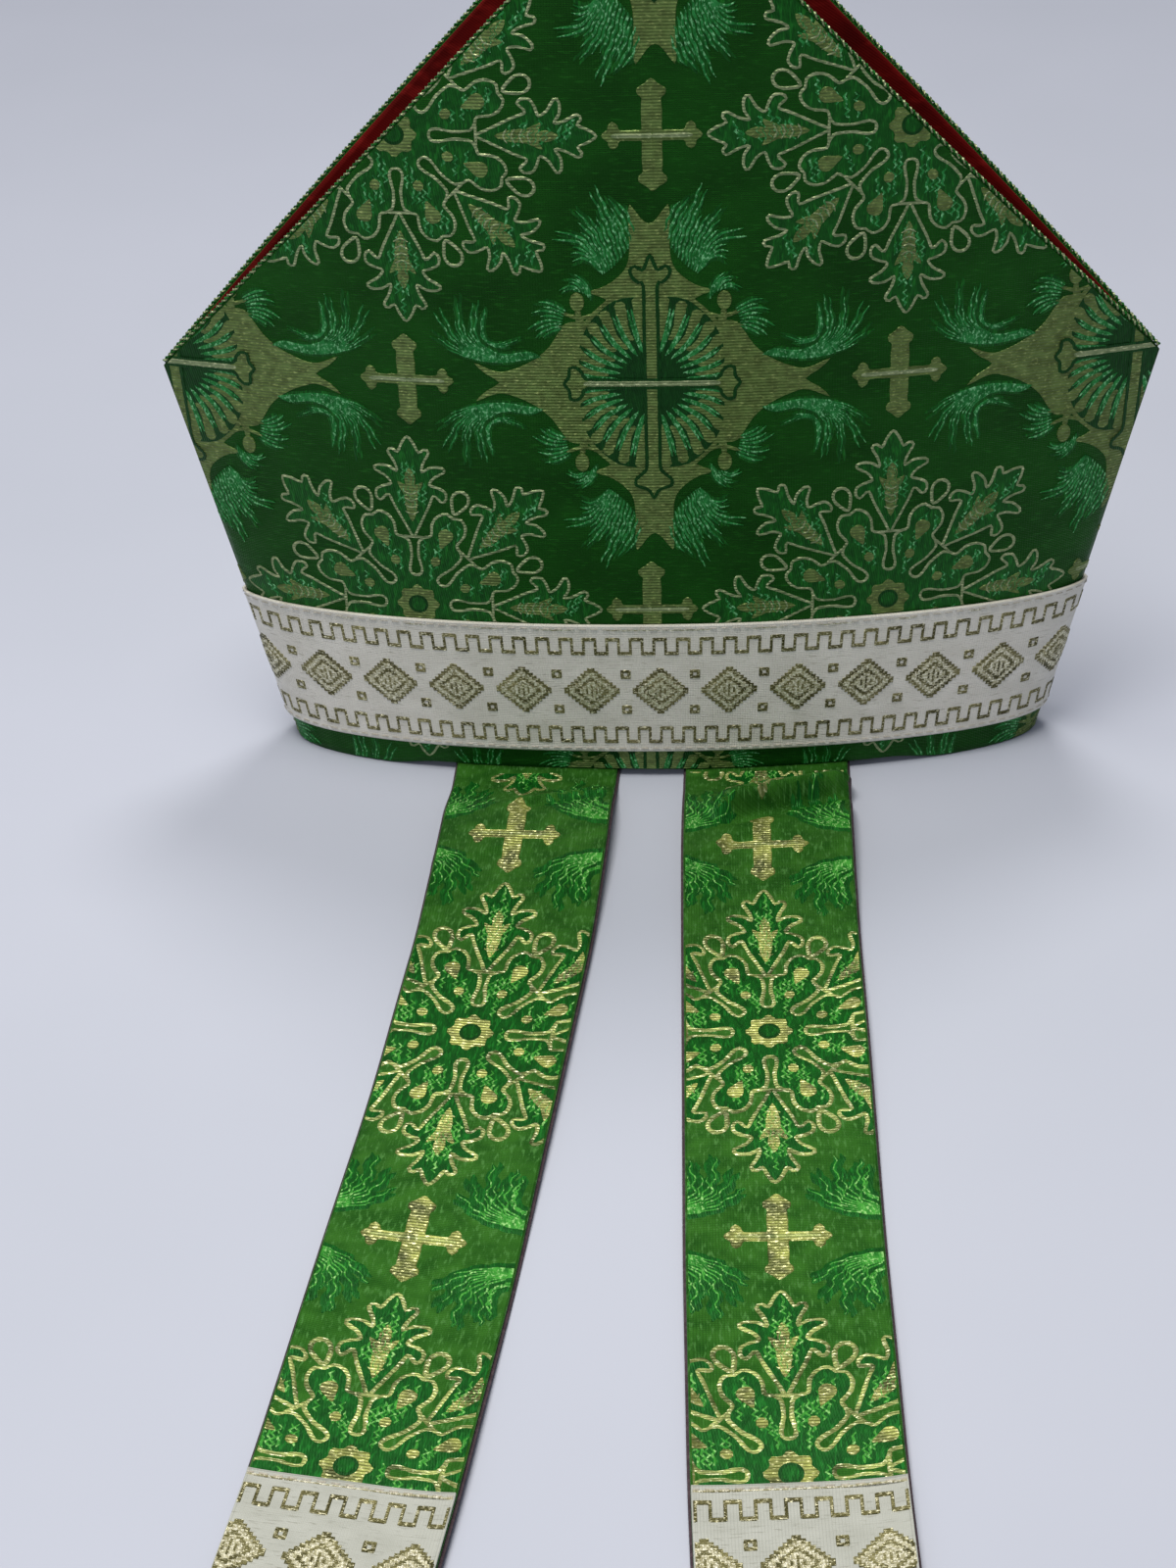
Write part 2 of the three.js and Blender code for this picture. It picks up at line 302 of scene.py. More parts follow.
def closed_sheet(name, outer, inner, materials, edge_roll=0, flat=None, is_loop=False):
    """Cloth with two faces: outer and inner are grids of points, joined by turned edges.
    The first material is the outer face and the edges, the second the inner face."""
    rows, columns = outer.shape[:2]
    size = rows * columns
    faces = sheet_faces(rows, columns, is_loop)
    finish = [0] * len(faces)
    back = [tuple(size + i for i in reversed(face)) for face in faces]
    finish += [len(materials) - 1] * len(back)
    faces += back
    points = [outer.reshape(-1, 3), inner.reshape(-1, 3)]
    index = np.arange(size).reshape(rows, columns)
    if is_loop:
        borders = [np.append(index[0], index[0, 0]), np.append(index[-1], index[-1, 0])[::-1]]
    else:
        borders = [np.concatenate([index[0], index[1:, -1], index[-1, -2::-1], index[-2::-1, 0]])]
    start = 2 * size
    for border in borders:
        middle = (points[0][border] + points[1][border]) / 2
        if edge_roll:
            row = np.clip(border // columns, 1, rows - 2)
            within = row * columns + np.clip(border % columns, 1, columns - 2)
            away = points[0][border] - points[0][within]
            away /= np.maximum(np.linalg.norm(away, axis=1), 1e-6)[:, None]
            middle = middle + away * edge_roll
            middle[:, 2] = np.maximum(middle[:, 2], min(grid[:, 2].min() for grid in points[:2]))
        points.append(middle)
        for i in range(len(border) - 1):
            a, b, m, n = int(border[i]), int(border[i + 1]), start + i, start + i + 1
            faces.append((b, a, m, n))
            faces.append((n, m, size + a, size + b))
            finish += [0, 0]
        start += len(border)
    if flat is not None:
        ends = [flat.reshape(-1, 2)[border] for border in borders]
        flat = np.concatenate([flat.reshape(-1, 2), flat.reshape(-1, 2), *ends])
    return mesh_object(name, np.concatenate(points), faces, materials, finish, flat)


# the wave texture has one band every 0.314 of its unit
WAVE_BAND = 0.314


def woven_finish(name, colours, cloud, fleck, fleck_from, ribs, relief, roughness, shader):
    """A woven cloth or yarn, drawn in millimetres of the cut cloth. colours are its dark, light and fleck
    colours; in the gilts, the green satins and the green floats the fleck colour is painted glints and
    highlights, in the others it is the thread's own flecks. cloud and fleck are the length and height of its
    slow and quick changes; fleck_from is where in the quick one the fleck's colour starts; ribs are the
    spacing, angle and weight of its threads; relief is their depth; shader holds what is the same all over."""
    material = new_material(name)
    dark, light, fleck_and_glint = (linear(colour) for colour in colours)
    cut = node(material, "UVMap", uv_map="cut").outputs["UV"]
    changes = []
    for length, height in (cloud, fleck):
        place = node(material, "Mapping", {"Vector": cut, "Scale": (1 / length, 1 / height, 1)})
        noise = {"Vector": place.outputs["Vector"], "Scale": 1.0, "Detail": 2.0, "Roughness": 0.6}
        changes.append(node(material, "TexNoise", noise).outputs["Fac"])
    slow, quick = changes
    tone = node(material, "MapRange", {"Value": slow, "From Min": 0.35, "From Max": 0.65}).outputs["Result"]
    cloth = node(material, "Mix", {"Factor": tone, 6: dark, 7: light}, data_type="RGBA").outputs[2]
    # where the quick change passes fleck_from the fleck colour comes in: painted glints and highlights on the
    # gilts, the green satins and the floats
    fleck_and_glint_range = {"Value": quick, "From Min": fleck_from, "From Max": fleck_from + 0.15}
    fleck_and_glint_share = node(material, "MapRange", fleck_and_glint_range).outputs["Result"]
    colour = node(material, "Mix", {"Factor": fleck_and_glint_share, 6: cloth, 7: fleck_and_glint}, data_type="RGBA").outputs[2]
    smooth, matt = roughness
    dulling = {"Value": quick, "From Min": 0.3, "From Max": 0.7, "To Min": matt, "To Max": smooth}
    dull = node(material, "MapRange", dulling).outputs["Result"]
    height = quick
    for spacing, angle, weight in ribs:
        turn = node(material, "Mapping", {"Vector": cut, "Rotation": (0, 0, math.radians(angle))})
        waves = {"Vector": turn.outputs["Vector"], "Scale": WAVE_BAND / spacing}
        waves.update({"Distortion": 0.6, "Detail": 1.0, "Detail Scale": 2.0})
        rib = node(material, "TexWave", waves, bands_direction="Y").outputs["Fac"]
        raised = node(material, "Math", {0: rib, 1: weight, 2: height}, operation="MULTIPLY_ADD")
        height = raised.outputs["Value"]
    bumps = node(material, "Bump", {"Height": height, "Distance": relief * MM, "Strength": 0.8})
    looks = {"Base Color": colour, "Roughness": dull, "Normal": bumps.outputs["Normal"], **shader}
    finish = node(material, "BsdfPrincipled", looks)
    node(material, "OutputMaterial", {"Surface": finish.outputs["BSDF"]})
    return material


def shine(weight, roughness, sheen, specular):
    """A silky cloth's sheen, and the colours of the sheen and of its highlights."""
    return {
        "Sheen Weight": weight, "Sheen Roughness": roughness,
        "Sheen Tint": linear(sheen), "Specular Tint": linear(specular),
    }


def green_satin(name, colours, cloud, fleck, fleck_from):
    return woven_finish(
        name, colours, cloud, fleck, fleck_from, ribs=((0.7, 0, 1), (0.9, 90, 0.6)), relief=0.12,
        roughness=(0.42, 0.6), shader=shine(0.12, 0.4, "3f9a34", "6fd45c"),
    )


# Rayon satin, woven with a green warp: fine upright ribs and long slubs, with a green sheen; the slubs are
# painted highlights, and this is the copy for the upright crown, while the lying copy is painted lighter.
# Its threads lie 0.3 mm apart, and are drawn 0.7 to 0.9 mm apart so that they show
rayon_satin = green_satin(
    "rayon_satin", ("0a300b", "114210", "185016"), cloud=(42, 26), fleck=(5, 0.9), fleck_from=0.56
)
# Acetate satin, woven: dark red and smooth, with a soft sheen and a fine slanting twill
acetate_satin = woven_finish(
    "acetate_satin", ("420505", "5c0a09", "6e1512"), cloud=(30, 22), fleck=(12, 6), fleck_from=0.55,
    ribs=((0.8, 35, 0.5),), relief=0.1, roughness=(0.42, 0.55), shader=shine(0.1, 0.4, "b0302a", "e0685c"),
)

PANEL_COLUMNS = 117
PANEL_ROWS = 127
panel_levels = np.concatenate([np.linspace(0, TIP_ROUND_START, PANEL_ROWS), [329.2, 329.8, 330.1, PANEL_TOP]])
panel_shares = np.linspace(-1, 1, PANEL_COLUMNS)


def settle(piece, stands_for=None):
    """Puts a piece on the one body, and hides the node it stands for."""
    if stands_for:
        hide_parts(stands_for)
    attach(piece, "root")


def crown_panel(name, side):
    share, height = np.meshgrid(panel_shares, panel_levels)
    u = share * panel_half_length(height)
    outer = panel_place(side)(u, height)
    inner = panel_place(side, PANEL_WALL)(u, height)
    flat = np.stack([u, height], axis=-1)
    panel = closed_sheet(name + "_brocade", outer, inner, [rayon_satin, acetate_satin], 0.6, flat)
    settle(panel, name)
    return panel


panels = {"back": crown_panel("back_panel", -1), "front": crown_panel("front_panel", 1)}

# Brocade figure
# The ground's figure is woven in with floats of gilt film yarn and bright green rayon, which
# stand a little above it: crosses, eight-leaved rosettes, and rayed crosses among plumes.

# the third finish is a pale float yarn whose paler colour is painted highlight on the green floats
GILT, BRIGHT, FLOSS_HIGHLIGHT, SHADE, LIGHT = range(5)
LINE_LIFT = 0.3
FILL_LIFT = 0.14
SUNK = -0.08


def smooth_path(path, widths, closed, step):
    """Runs a rounded line through the points, with a point every step millimetres."""
    path = np.column_stack([np.asarray(path, dtype=float), np.broadcast_to(widths, len(path))])
    if closed:
        around = np.vstack([path[-1:], path, path[:2]])
    else:
        around = np.vstack([2 * path[:1] - path[1:2], path, 2 * path[-1:] - path[-2:-1]])
    out = []
    for i in range(1, len(around) - 2):
        p, q, r, s = around[i - 1 : i + 3]
        count = max(1, int(math.ceil(math.hypot(*(r - q)[:2]) / step)))
        t = np.linspace(0, 1, count, endpoint=False)[:, None]
        bend = (2 * p - 5 * q + 4 * r - s) * t**2 + (3 * q - p - 3 * r + s) * t**3
        out.append(q + 0.5 * ((r - p) * t + bend))
    if not closed:
        out.append(path[-1:])
    line = np.vstack(out)
    return line[:, :2], np.maximum(line[:, 2], 0.15)


def band(path, width, finish, closed=False, step=1.4, lift=LINE_LIFT, base=SUNK):
    """A line of floats: a low ridge along a path, narrowed at its ends. Its edges lie at base,
    which is SUNK in the ground or just under the field of floats that it crosses."""
    line, widths = smooth_path(path, width, closed, step)
    steps = np.arange(len(line))
    widths = widths * (1 + 0.09 * np.sin(steps * 2.3) + 0.06 * np.sin(steps * 0.9))
    if closed:
        ahead = np.roll(line, -1, axis=0) - np.roll(line, 1, axis=0)
    else:
        ahead = np.gradient(line, axis=0)
        widths[[0, -1]] *= 0.45
    ahead /= np.maximum(np.linalg.norm(ahead, axis=1), 1e-6)[:, None]
    side = np.stack([-ahead[:, 1], ahead[:, 0]], axis=1) * widths[:, None] / 2
    low = np.full((len(line), 1), base)
    rows = [np.hstack([line + side, low]), np.hstack([line, low * 0 + lift]), np.hstack([line - side, low])]
    count = len(line)
    here = np.arange(count if closed else count - 1)
    on = (here + 1) % count
    faces = [np.stack([b + here, b + on, a + on, a + here], 1) for a, b in ((0, count), (count, 2 * count))]
    return np.vstack(rows), np.vstack(faces).tolist(), finish


def is_inside(points, outline):
    a = outline[None]
    b = np.roll(outline, -1, axis=0)[None]
    p = points[:, None]
    crosses = (a[..., 1] > p[..., 1]) != (b[..., 1] > p[..., 1])
    rise = np.where(b[..., 1] == a[..., 1], 1, b[..., 1] - a[..., 1])
    where = a[..., 0] + (b[..., 0] - a[..., 0]) * (p[..., 1] - a[..., 1]) / rise
    return (crosses & (p[..., 0] < where)).sum(axis=1) % 2 == 1


def patch(outline, finish, lift=FILL_LIFT, spacing=2.6, rounded=True):
    """A field of floats: a filled outline with edges turned down into the ground."""
    outline = np.asarray(outline, dtype=float)
    if rounded:
        outline = smooth_path(outline, 1, True, spacing)[0]
    if np.sum(outline[:, 0] * np.roll(outline[:, 1], -1) - outline[:, 1] * np.roll(outline[:, 0], -1)) < 0:
        outline = outline[::-1]
    count = len(outline)
    low, high = outline.min(axis=0), outline.max(axis=0)
    steps = [np.arange(a + spacing / 2, b, spacing) for a, b in zip(low, high)]
    grid = np.stack(np.meshgrid(*steps), -1).reshape(-1, 2)
    if len(grid):
        away = np.linalg.norm(grid[:, None] - outline[None], axis=2).min(axis=1) > spacing * 0.5
        grid = grid[away & is_inside(grid, outline)]
    points = np.vstack([outline, grid])
    edges = [(i, (i + 1) % count) for i in range(count)]
    made, _, faces, *_ = delaunay_2d_cdt(points.tolist(), edges, [], 0, 1e-4, False)
    made = np.array([tuple(p) for p in made])
    faces = np.array(faces)
    faces = faces[is_inside(made[faces].mean(axis=1), outline)]
    ahead = np.roll(outline, -1, axis=0) - np.roll(outline, 1, axis=0)
    ahead /= np.maximum(np.linalg.norm(ahead, axis=1), 1e-6)[:, None]
    hem = outline + np.stack([ahead[:, 1], -ahead[:, 0]], axis=1) * 0.22
    top = len(made)
    rings = ((made, lift), (outline, lift), (hem, SUNK))
    points = np.vstack([np.hstack([p, np.full((len(p), 1), h)]) for p, h in rings])
    here = np.arange(count)
    on = (here + 1) % count
    skirt = np.stack([top + count + here, top + count + on, top + on, top + here], axis=1)
    return points, faces.tolist() + skirt.tolist(), finish


def mirrored(half):
    """Closes half an outline, drawn from top to bottom, with its mirror image."""
    return list(half) + [(-x, y) for x, y in reversed(half) if x > 0.01]


def four_fold(quarter):
    return mirrored(list(quarter) + [(x, -y) for x, y in reversed(quarter) if y > 0.01])


def turned(points, degrees, shift=(0, 0)):
    c, s = math.cos(math.radians(degrees)), math.sin(math.radians(degrees))
    return np.asarray(points, dtype=float) @ np.array([[c, s], [-s, c]]) + shift


def polar(radius, degrees):
    return radius * math.sin(math.radians(degrees)), radius * math.cos(math.radians(degrees))


def oval(across, up, middle=(0, 0), count=12):
    return [
        (middle[0] + across * math.cos(t), middle[1] + up * math.sin(t))
        for t in np.linspace(0, 2 * math.pi, count, endpoint=False)
    ]


def cross_motif(height, bar, shoulder):
    half = height / 2
    quarter = [(0, half), (1.9, half - 1.6), (shoulder, half - 3.2), (shoulder - 0.3, half - 4.9)]
    quarter += [(bar - 0.2, half - 6), (bar, half - 10), (bar, 1.8), (bar + 1.5, 1.5), (10.3, 1.5)]
    quarter += [(11.2, 3.3), (12.6, 4.3), (13.7, 3.2), (13.9, 1.9), (15.9, 0)]
    outline = four_fold(quarter)
    return [
        patch(outline, GILT, lift=0.2, spacing=1.8),
        band(outline, 0.9, GILT, closed=True, step=1.2),
        band([(0, half - 3), (0, -half + 3)], 1.0, GILT, lift=0.3, base=0.18),
        band([(-13, 0), (13, 0)], 1.5, LIGHT, lift=0.34, base=0.2),
    ]


LEAF = [(0, 27), (1.5, 29.8), (4, 34.9), (6, 39), (7.8, 43.2), (9.6, 42.2), (11, 40.8), (12.3, 42.2)]
LEAF += [(12, 44.8), (9.4, 46.3), (6.7, 47.4), (8.4, 50.2), (12.2, 52.6), (11.4, 54), (7.6, 54), (4.4, 52.2)]
LEAF += [(4.9, 55.5), (7.1, 59.8), (5.6, 60.8), (3.7, 59.6), (2, 63), (0, 65.5)]
FEATHER = [(0, 53.7), (1.2, 52), (1.9, 49.5), (1.6, 47), (4.4, 48.4)]
FEATHER += [(3.2, 45), (2.4, 43.4), (2.1, 39.5), (1.3, 35.8), (0, 33)]
SLOT = [(0, 11.5), (1.7, 12.1), (2.3, 14), (1.9, 16.8), (1.4, 19.2), (1.5, 22.5), (2.1, 25.4), (4.4, 26.8)]
PETAL = [polar(28.3, 13), polar(33, 12.3), polar(36.4, 14.6), polar(38.2, 18.6), polar(37.4, 22.5)]
LOOP = [(0, 39.2), (2.1, 42.3), (3, 45.2), (2.1, 47.7), (0, 48.6), (-2.1, 47.7), (-3, 45.2), (-2.1, 42.3)]
DROP = [(0, -4.2), (1.3, -1.8), (2.6, 1.2), (1.9, 3.3), (0, 3.9), (-1.9, 3.3), (-2.6, 1.2), (-1.3, -1.8)]


LEAF_LIFT = 0.12
STRAND_CLEAR = 0.95
STRAND_GAP = 0.9
HUB_CLEAR = 8.6


def strands(outline, clear_radius, field, pitch):
    """Wavy single floats that stand on a green field and run up it, kept off its outline and its hub. Their
    pale colour is painted highlight."""
    drawn = []
    low, high = outline.min(axis=0), outline.max(axis=0)
    for n, x in enumerate(np.arange(low[0] + 1.2, high[0], pitch)):
        y = low[1] + (n * 3.7) % 5
        while y < high[1]:
            length = 5 + 3.5 * abs(math.sin(n * 1.7 + y))
            steps = np.arange(0, length, 1.2)
            path = np.array([(x + 0.75 * math.sin(t * 2.3 + n) + 0.006 * t * x, y + t) for t in steps])
            from_edge = np.linalg.norm(outline[:, None] - path[None], axis=2).min()
            from_hub = np.linalg.norm(path, axis=1).min()
            if is_inside(path, outline).all() and from_edge > STRAND_CLEAR and from_hub > clear_radius:
                drawn.append(band(path, 1.0, FLOSS_HIGHLIGHT, step=2, lift=0.3, base=field - 0.03))
            y += length + STRAND_GAP
    return drawn


def rosette_motif(bold=1.0, pitch=1.75):
    """Eight petals and eight leaves round a ring; bold widens its gilt outlines, and pitch is
    how far apart the single floats in its green fields lie."""
    half_sector = SLOT + PETAL
    contour = []
    for k in range(8):
        other = [turned([(-x, y)], -45)[0] for x, y in reversed(half_sector[1:-1])]
        contour += list(turned(half_sector + other, -45 * k))
    drawn = [patch(contour, BRIGHT, rounded=False), band(contour, 1.6 * bold, LIGHT, closed=True)]
    drawn += strands(np.array(contour), HUB_CLEAR, FILL_LIFT, pitch)
    for k in range(8):
        spin = -45 * k
        leaf = turned(mirrored(list(reversed(LEAF))), spin)
        drawn += [patch(leaf, BRIGHT, lift=LEAF_LIFT), band(leaf, 1.5 * bold, LIGHT, closed=True, step=1.3)]
        drawn += strands(leaf, 0, LEAF_LIFT, pitch)
        drawn.append(patch(turned(mirrored(FEATHER), spin), GILT, lift=0.24, spacing=1.8))
        for y in (35.8, 38.4, 41, 43.6):
            rib = [(-2.4, y + 1.2), (0, y), (2.4, y + 1.2)]
            drawn.append(band(turned(rib, spin), 0.6, LIGHT, lift=0.36, base=0.22, step=2))
        drawn.append(band(turned(LOOP, spin - 22.5), 1.4 * bold, LIGHT, closed=True, step=1.6))
        drawn.append(band(turned([(-4.4, 26.9), (4.4, 26.9)], spin), 1.2 * bold, LIGHT, step=1.6))
        drawn.append(patch(turned(turned(DROP, 0, (0, 28.6)), spin - 22.5), GILT, lift=0.3, spacing=1.8))
        drawn.append(patch(turned(oval(1.7, 1.9, (0, 18.8), 8), spin - 22.5), GILT, lift=0.3, spacing=1.8))
    scallops = [polar(7 + 0.8 * math.cos(8 * math.radians(a)), a) for a in range(0, 360, 11)]
    return drawn + [
        patch(scallops, GILT, lift=0.26),
        patch(oval(3.6, 3.6), SHADE, lift=0.31, spacing=1.8),
        patch(oval(2.6, 2.6), BRIGHT, lift=0.36, spacing=1.8),
    ]


def fan(guides, count, width, shorter=0.3, lobe=7, pale=2, wave=0.3, full=2.6):
    """Floats fanned between guide lines that all have the same number of points, on a ground of green ones,
    full times as broad. Each waves a little, and every lobe of them ends in a point. One in pale of them also
    gets a pale float on top, whose colour is painted highlight."""
    guides = np.array(guides, dtype=float)
    drawn = []
    for i in range(count):
        at = i / (count - 1) * (len(guides) - 1)
        first = min(int(at), len(guides) - 2)
        line = mix(guides[first], guides[first + 1], at - first)
        line = smooth_path(line, 1, False, 1.9)[0]
        cut = 1 - shorter * (1 - abs(math.sin((i + 0.5) * math.pi / lobe))) - 0.05 * math.sin(i * 2.7)
        line = line[: max(3, int(len(line) * cut))]
        line[1:-1, 0] += wave * np.sin(np.arange(1, len(line) - 1) * 1.7)
        widths = width * np.interp(np.linspace(0, 1, len(line)), [0, 0.3, 0.7, 1], [0.6, 1, 0.9, 0.35])
        drawn.append(band(line, widths * full, BRIGHT, step=3, lift=0.17))
        if i % pale == 1:
            drawn.append(band(line, widths, FLOSS_HIGHLIGHT, step=2.2, lift=0.34, base=0.1))
    return drawn


QUARTERS = ((1, 1), (1, -1), (-1, 1), (-1, -1))


def both_ways(points, x_sign, y_sign):
    return [(x * x_sign, y * y_sign) for x, y in points]


FRAME = [(0, 57), (2.8, 59), (6.2, 63.6), (6.7, 59), (6.5, 50), (6.9, 44.5), (8.6, 40.5), (12.5, 36.8)]
FRAME += [(16.5, 34.6), (20.5, 33.4), (17, 32), (14.5, 30.6), (17.5, 27.6), (20.5, 24.5), (22, 22.6)]
FRAME += [(25, 22.4), (28.5, 21.8), (31.5, 17.5), (34, 13.5), (37.5, 10), (42, 7), (47, 4.8), (51, 3.8)]
FRAME += [(55, 4.8), (59.8, 7), (56, 3.2), (51.5, 0)]
BURST = [(0, 31), (6, 31.4), (12, 30.2), (17.3, 26), (21, 21.4), (23.4, 16), (24.4, 10), (24, 5), (23, 0)]
FLEUR = [(0, 46.2), (1.5, 42.8), (2.6, 41), (5, 42.4), (6.6, 41), (5.8, 38.4), (3.8, 36.6), (2.3, 35.4)]
FLEUR += [(2.3, 20), (2.3, 0), (2.3, -20), (2.3, -30.8), (3.4, -33.4), (6.1, -36), (5.9, -38.4)]
FLEUR += [(3.2, -39.4), (1.4, -40.6), (0, -43.2)]
ARM = [(29.6, 0), (28.2, 2), (27.8, 3.4), (27.6, 5.6), (25.4, 6), (23.4, 4), (22, 1.7), (12, 1.4), (0, 1.4)]
RAYS = ((9, 29), (20.5, 28.6), (32, 28), (43.5, 27), (55, 26.5), (66, 25.5), (77, 24.5))
UPPER_PLUME = [
    [(4.4, 56), (5.6, 59.5), (7.4, 63), (12, 67)], [(6.8, 48.8), (8.2, 54), (10.6, 60), (15, 67.5)],
    [(9.4, 45), (10.6, 52), (13, 59.5), (17.4, 71)], [(12, 42.3), (13.4, 49), (16.2, 56.5), (21.5, 65)],
    [(14, 40.6), (15.8, 47.5), (19.4, 55), (26, 62.5)],
    [(15.6, 39.6), (17.6, 46), (22.4, 52.6), (32.6, 55.5)],
    [(16.6, 40.6), (19, 45), (23.6, 48.8), (30.6, 48)], [(17, 41), (19, 43.6), (22, 44.6), (25.6, 42.4)],
]
# the hood of leaves over each bud, and the spray beside it
BUD_HOOD = [
    [(19.4, 30), (19.6, 33.5), (21.4, 37.4), (25.6, 41.4)],
    [(21.6, 32.8), (22.6, 35.6), (25, 37.6), (29.4, 37.6)],
    [(24.6, 33.8), (26.6, 34.4), (28.6, 33.4), (31, 30.4)],
]
BUD_SPRAY = [
    [(28, 27), (31, 29), (34, 30.4), (38, 31)], [(29, 24.6), (32.6, 26), (36.6, 26.4), (41.4, 25)],
    [(29.6, 22), (33.6, 22), (37.4, 20.6), (41, 17.6)], [(29.6, 20), (33, 18.4), (35.8, 16.2), (37.2, 13.4)],
]
SIDE_SCROLL = [
    [(37, 9.7), (52, 7.6), (64, 9.6), (75, 14)], [(38, 10.4), (53, 8.8), (65, 13.6), (73, 25)],
    [(39, 11), (53, 10), (63, 17), (64, 33)], [(41, 11.7), (51, 10.8), (58, 17), (56.4, 30)],
]
SCROLL_TIPS = [
    [(55, 28), (57, 18), (52, 14.6), (43, 18.4)], [(57, 22), (55, 15), (50, 12.8), (43, 14)],
]


# the stems that hold each bud: their path, width and lift
STEMS = (
    ([(22.5, 20), (24, 24), (24.2, 27)], [3.4, 3, 2], LINE_LIFT),
    ([(15.4, 24), (18.2, 25.4), (23.5, 24), (29.6, 25.8)], 1.5, 0.4),
    ([(20, 21.4), (25, 20.4), (31, 21)], 1.3, 0.36),
)
# the star's sprays: guide lines, how many floats, their width, how much shorter the shortest
# are, how many make a lobe, and how much they wave
LEAVES = (
    (BUD_HOOD, 13, 0.9, 0.25, 4, 0),
    (BUD_SPRAY, 17, 0.9, 0.4, 4, 0),
    (UPPER_PLUME, 33, 1.05, 0.35, 7, 0.3),
)


def scroll_motif(pale=2, wave=0.3, full=4):
    """Four dark green scrolls, which curl away from the star's side spikes; pale, wave and full
    are as for a fan."""
    drawn = []
    for signs in QUARTERS:
        for lines, count, shorter in ((SIDE_SCROLL, 27, 0.35), (SCROLL_TIPS, 9, 0.3)):
            guides = [both_ways(line, *signs) for line in lines]
            drawn += fan(guides, count, 0.85, shorter, pale=pale, wave=wave, full=full)
    return drawn


def star_motif():
    drawn = [
        patch(four_fold(FRAME), GILT, lift=0.16, spacing=3.2),
        patch(four_fold(BURST), SHADE, lift=0.2, spacing=3.2),
        patch(oval(10.4, 10.4, count=20), SHADE, lift=0.23, spacing=3.2),
        *scroll_motif(),
    ]
    for signs in QUARTERS:
        for n, (angle, reach) in enumerate(RAYS):
            bow = 2.6 * math.sin(math.radians(2 * angle))
            ray = [polar(15 + 2 * (n % 2), angle), polar(19, angle + bow * 1.3), polar(23, angle + bow)]
            ray.append(polar(reach + 3, angle - 1))
            drawn.append(band(both_ways(ray, *signs), [1.7, 2.0, 2.7, 4.6], GILT, lift=0.34, base=0.18))
            # pale threads between the rays, whose colour is painted highlight
            for aside, inward in ((4.4, 11.2), (7.0, 12.2)):
                turn = angle + aside
                thread = [polar(inward, turn), polar(19, turn + bow), polar(reach - 1, turn)]
                thread = both_ways(thread, *signs)
                drawn.append(band(thread, [0.8, 1.1, 0.8], FLOSS_HIGHLIGHT, step=2, lift=0.36, base=0.18))
        for stem, width, lift in STEMS:
            drawn.append(band(both_ways(stem, *signs), width, GILT, lift=lift))
        bud = both_ways(oval(2.3, 3.3, (24.4, 29.8), 8), *signs)
        drawn.append(patch(bud, GILT, lift=0.3, spacing=1.8))
        for lines, count, width, shorter, lobe, wave in LEAVES:
            drawn += fan([both_ways(line, *signs) for line in lines], count, width, shorter, lobe, wave=wave)
    fleur = mirrored(FLEUR)
    arms = ARM + [(-x, y) for x, y in reversed(ARM[:-1])]
    arms += [(x, -y) for x, y in reversed(arms) if y > 0.01]
    return drawn + [
        patch(fleur, GILT, lift=0.36, spacing=2.2),
        band(fleur, 1.2, SHADE, closed=True, lift=0.43, base=0.37),
        patch(arms, GILT, lift=0.46, spacing=2.2),
        band(arms, 1.2, SHADE, closed=True, lift=0.52, base=0.46),
        band([(-23, 0), (23, 0)], 2.2, LIGHT, lift=0.6, base=0.46, step=2.5),
    ]


def figure_finishes(where, gilt, light_gilt, bright, pale_floss_highlight, shade, dapple, metallic, glitter):
    """The figure's five yarns, in the order of the finishes above, as they look in one place: each place gets
    its own copy, painted lighter or darker for the light that falls there.
    """
    # Gilt film yarn, a metallised strip wound on a core: dull gold in rows, with painted glints on its facets
    gilts = [
        woven_finish(
            f"{kind}_{where}", colours, dapple, (1.8, 0.9), glitter, ribs=((1.1, 0, 1.3),),
            relief=0.2, roughness=(0.32, 0.5), shader={"Metallic": metallic},
        )
        for kind, colours in (("gilt_film_yarn", gilt), ("light_gilt_film_yarn", light_gilt))
    ]
    # Rayon floats, silky along the weft: deep green streaked with paler painted highlights; the pale floats
    # are a paler copy whose colour is painted highlight all over
    greens = [
        woven_finish(
            f"{kind}_{where}", colours, (2.5, 4), (1, length), 0.52, ribs=((0.8, 80, 0.7),),
            relief=0.16, roughness=(0.32, 0.46), shader=shine(0.1, 0.3, "4fc050", "7fe08a"),
        )
        for kind, colours, length in (
            ("bright_rayon_floats", bright, 5),
            ("pale_rayon_floss_highlight", pale_floss_highlight, 1.4),
            ("shade_rayon_floats", shade, 5),
        )
    ]
    return [gilts[0], *greens, gilts[1]]


# The crown stands up out of the lamp's light: this copy of the figure's yarns is painted darker and duller,
# as painted shade
SHADED_CROWN_FINISHES = figure_finishes(
    "crown", gilt=("50622c", "677f40", "98a862"), light_gilt=("728559", "95a377", "d4dba8"),
    bright=("0a380c", "124e14", "1c661f"), pale_floss_highlight=("125a22", "2f8644", "86cc92"),
    shade=("052306", "0a300b", "0e3c0f"), dapple=(4.5, 3), metallic=0.5, glitter=0.56,
)
CROSS_A = cross_motif(37.3, 3.0, 4.3)
CROSS_B = cross_motif(33.2, 2.85, 3.9)
ROSETTE = rosette_motif()
STAR = star_motif()


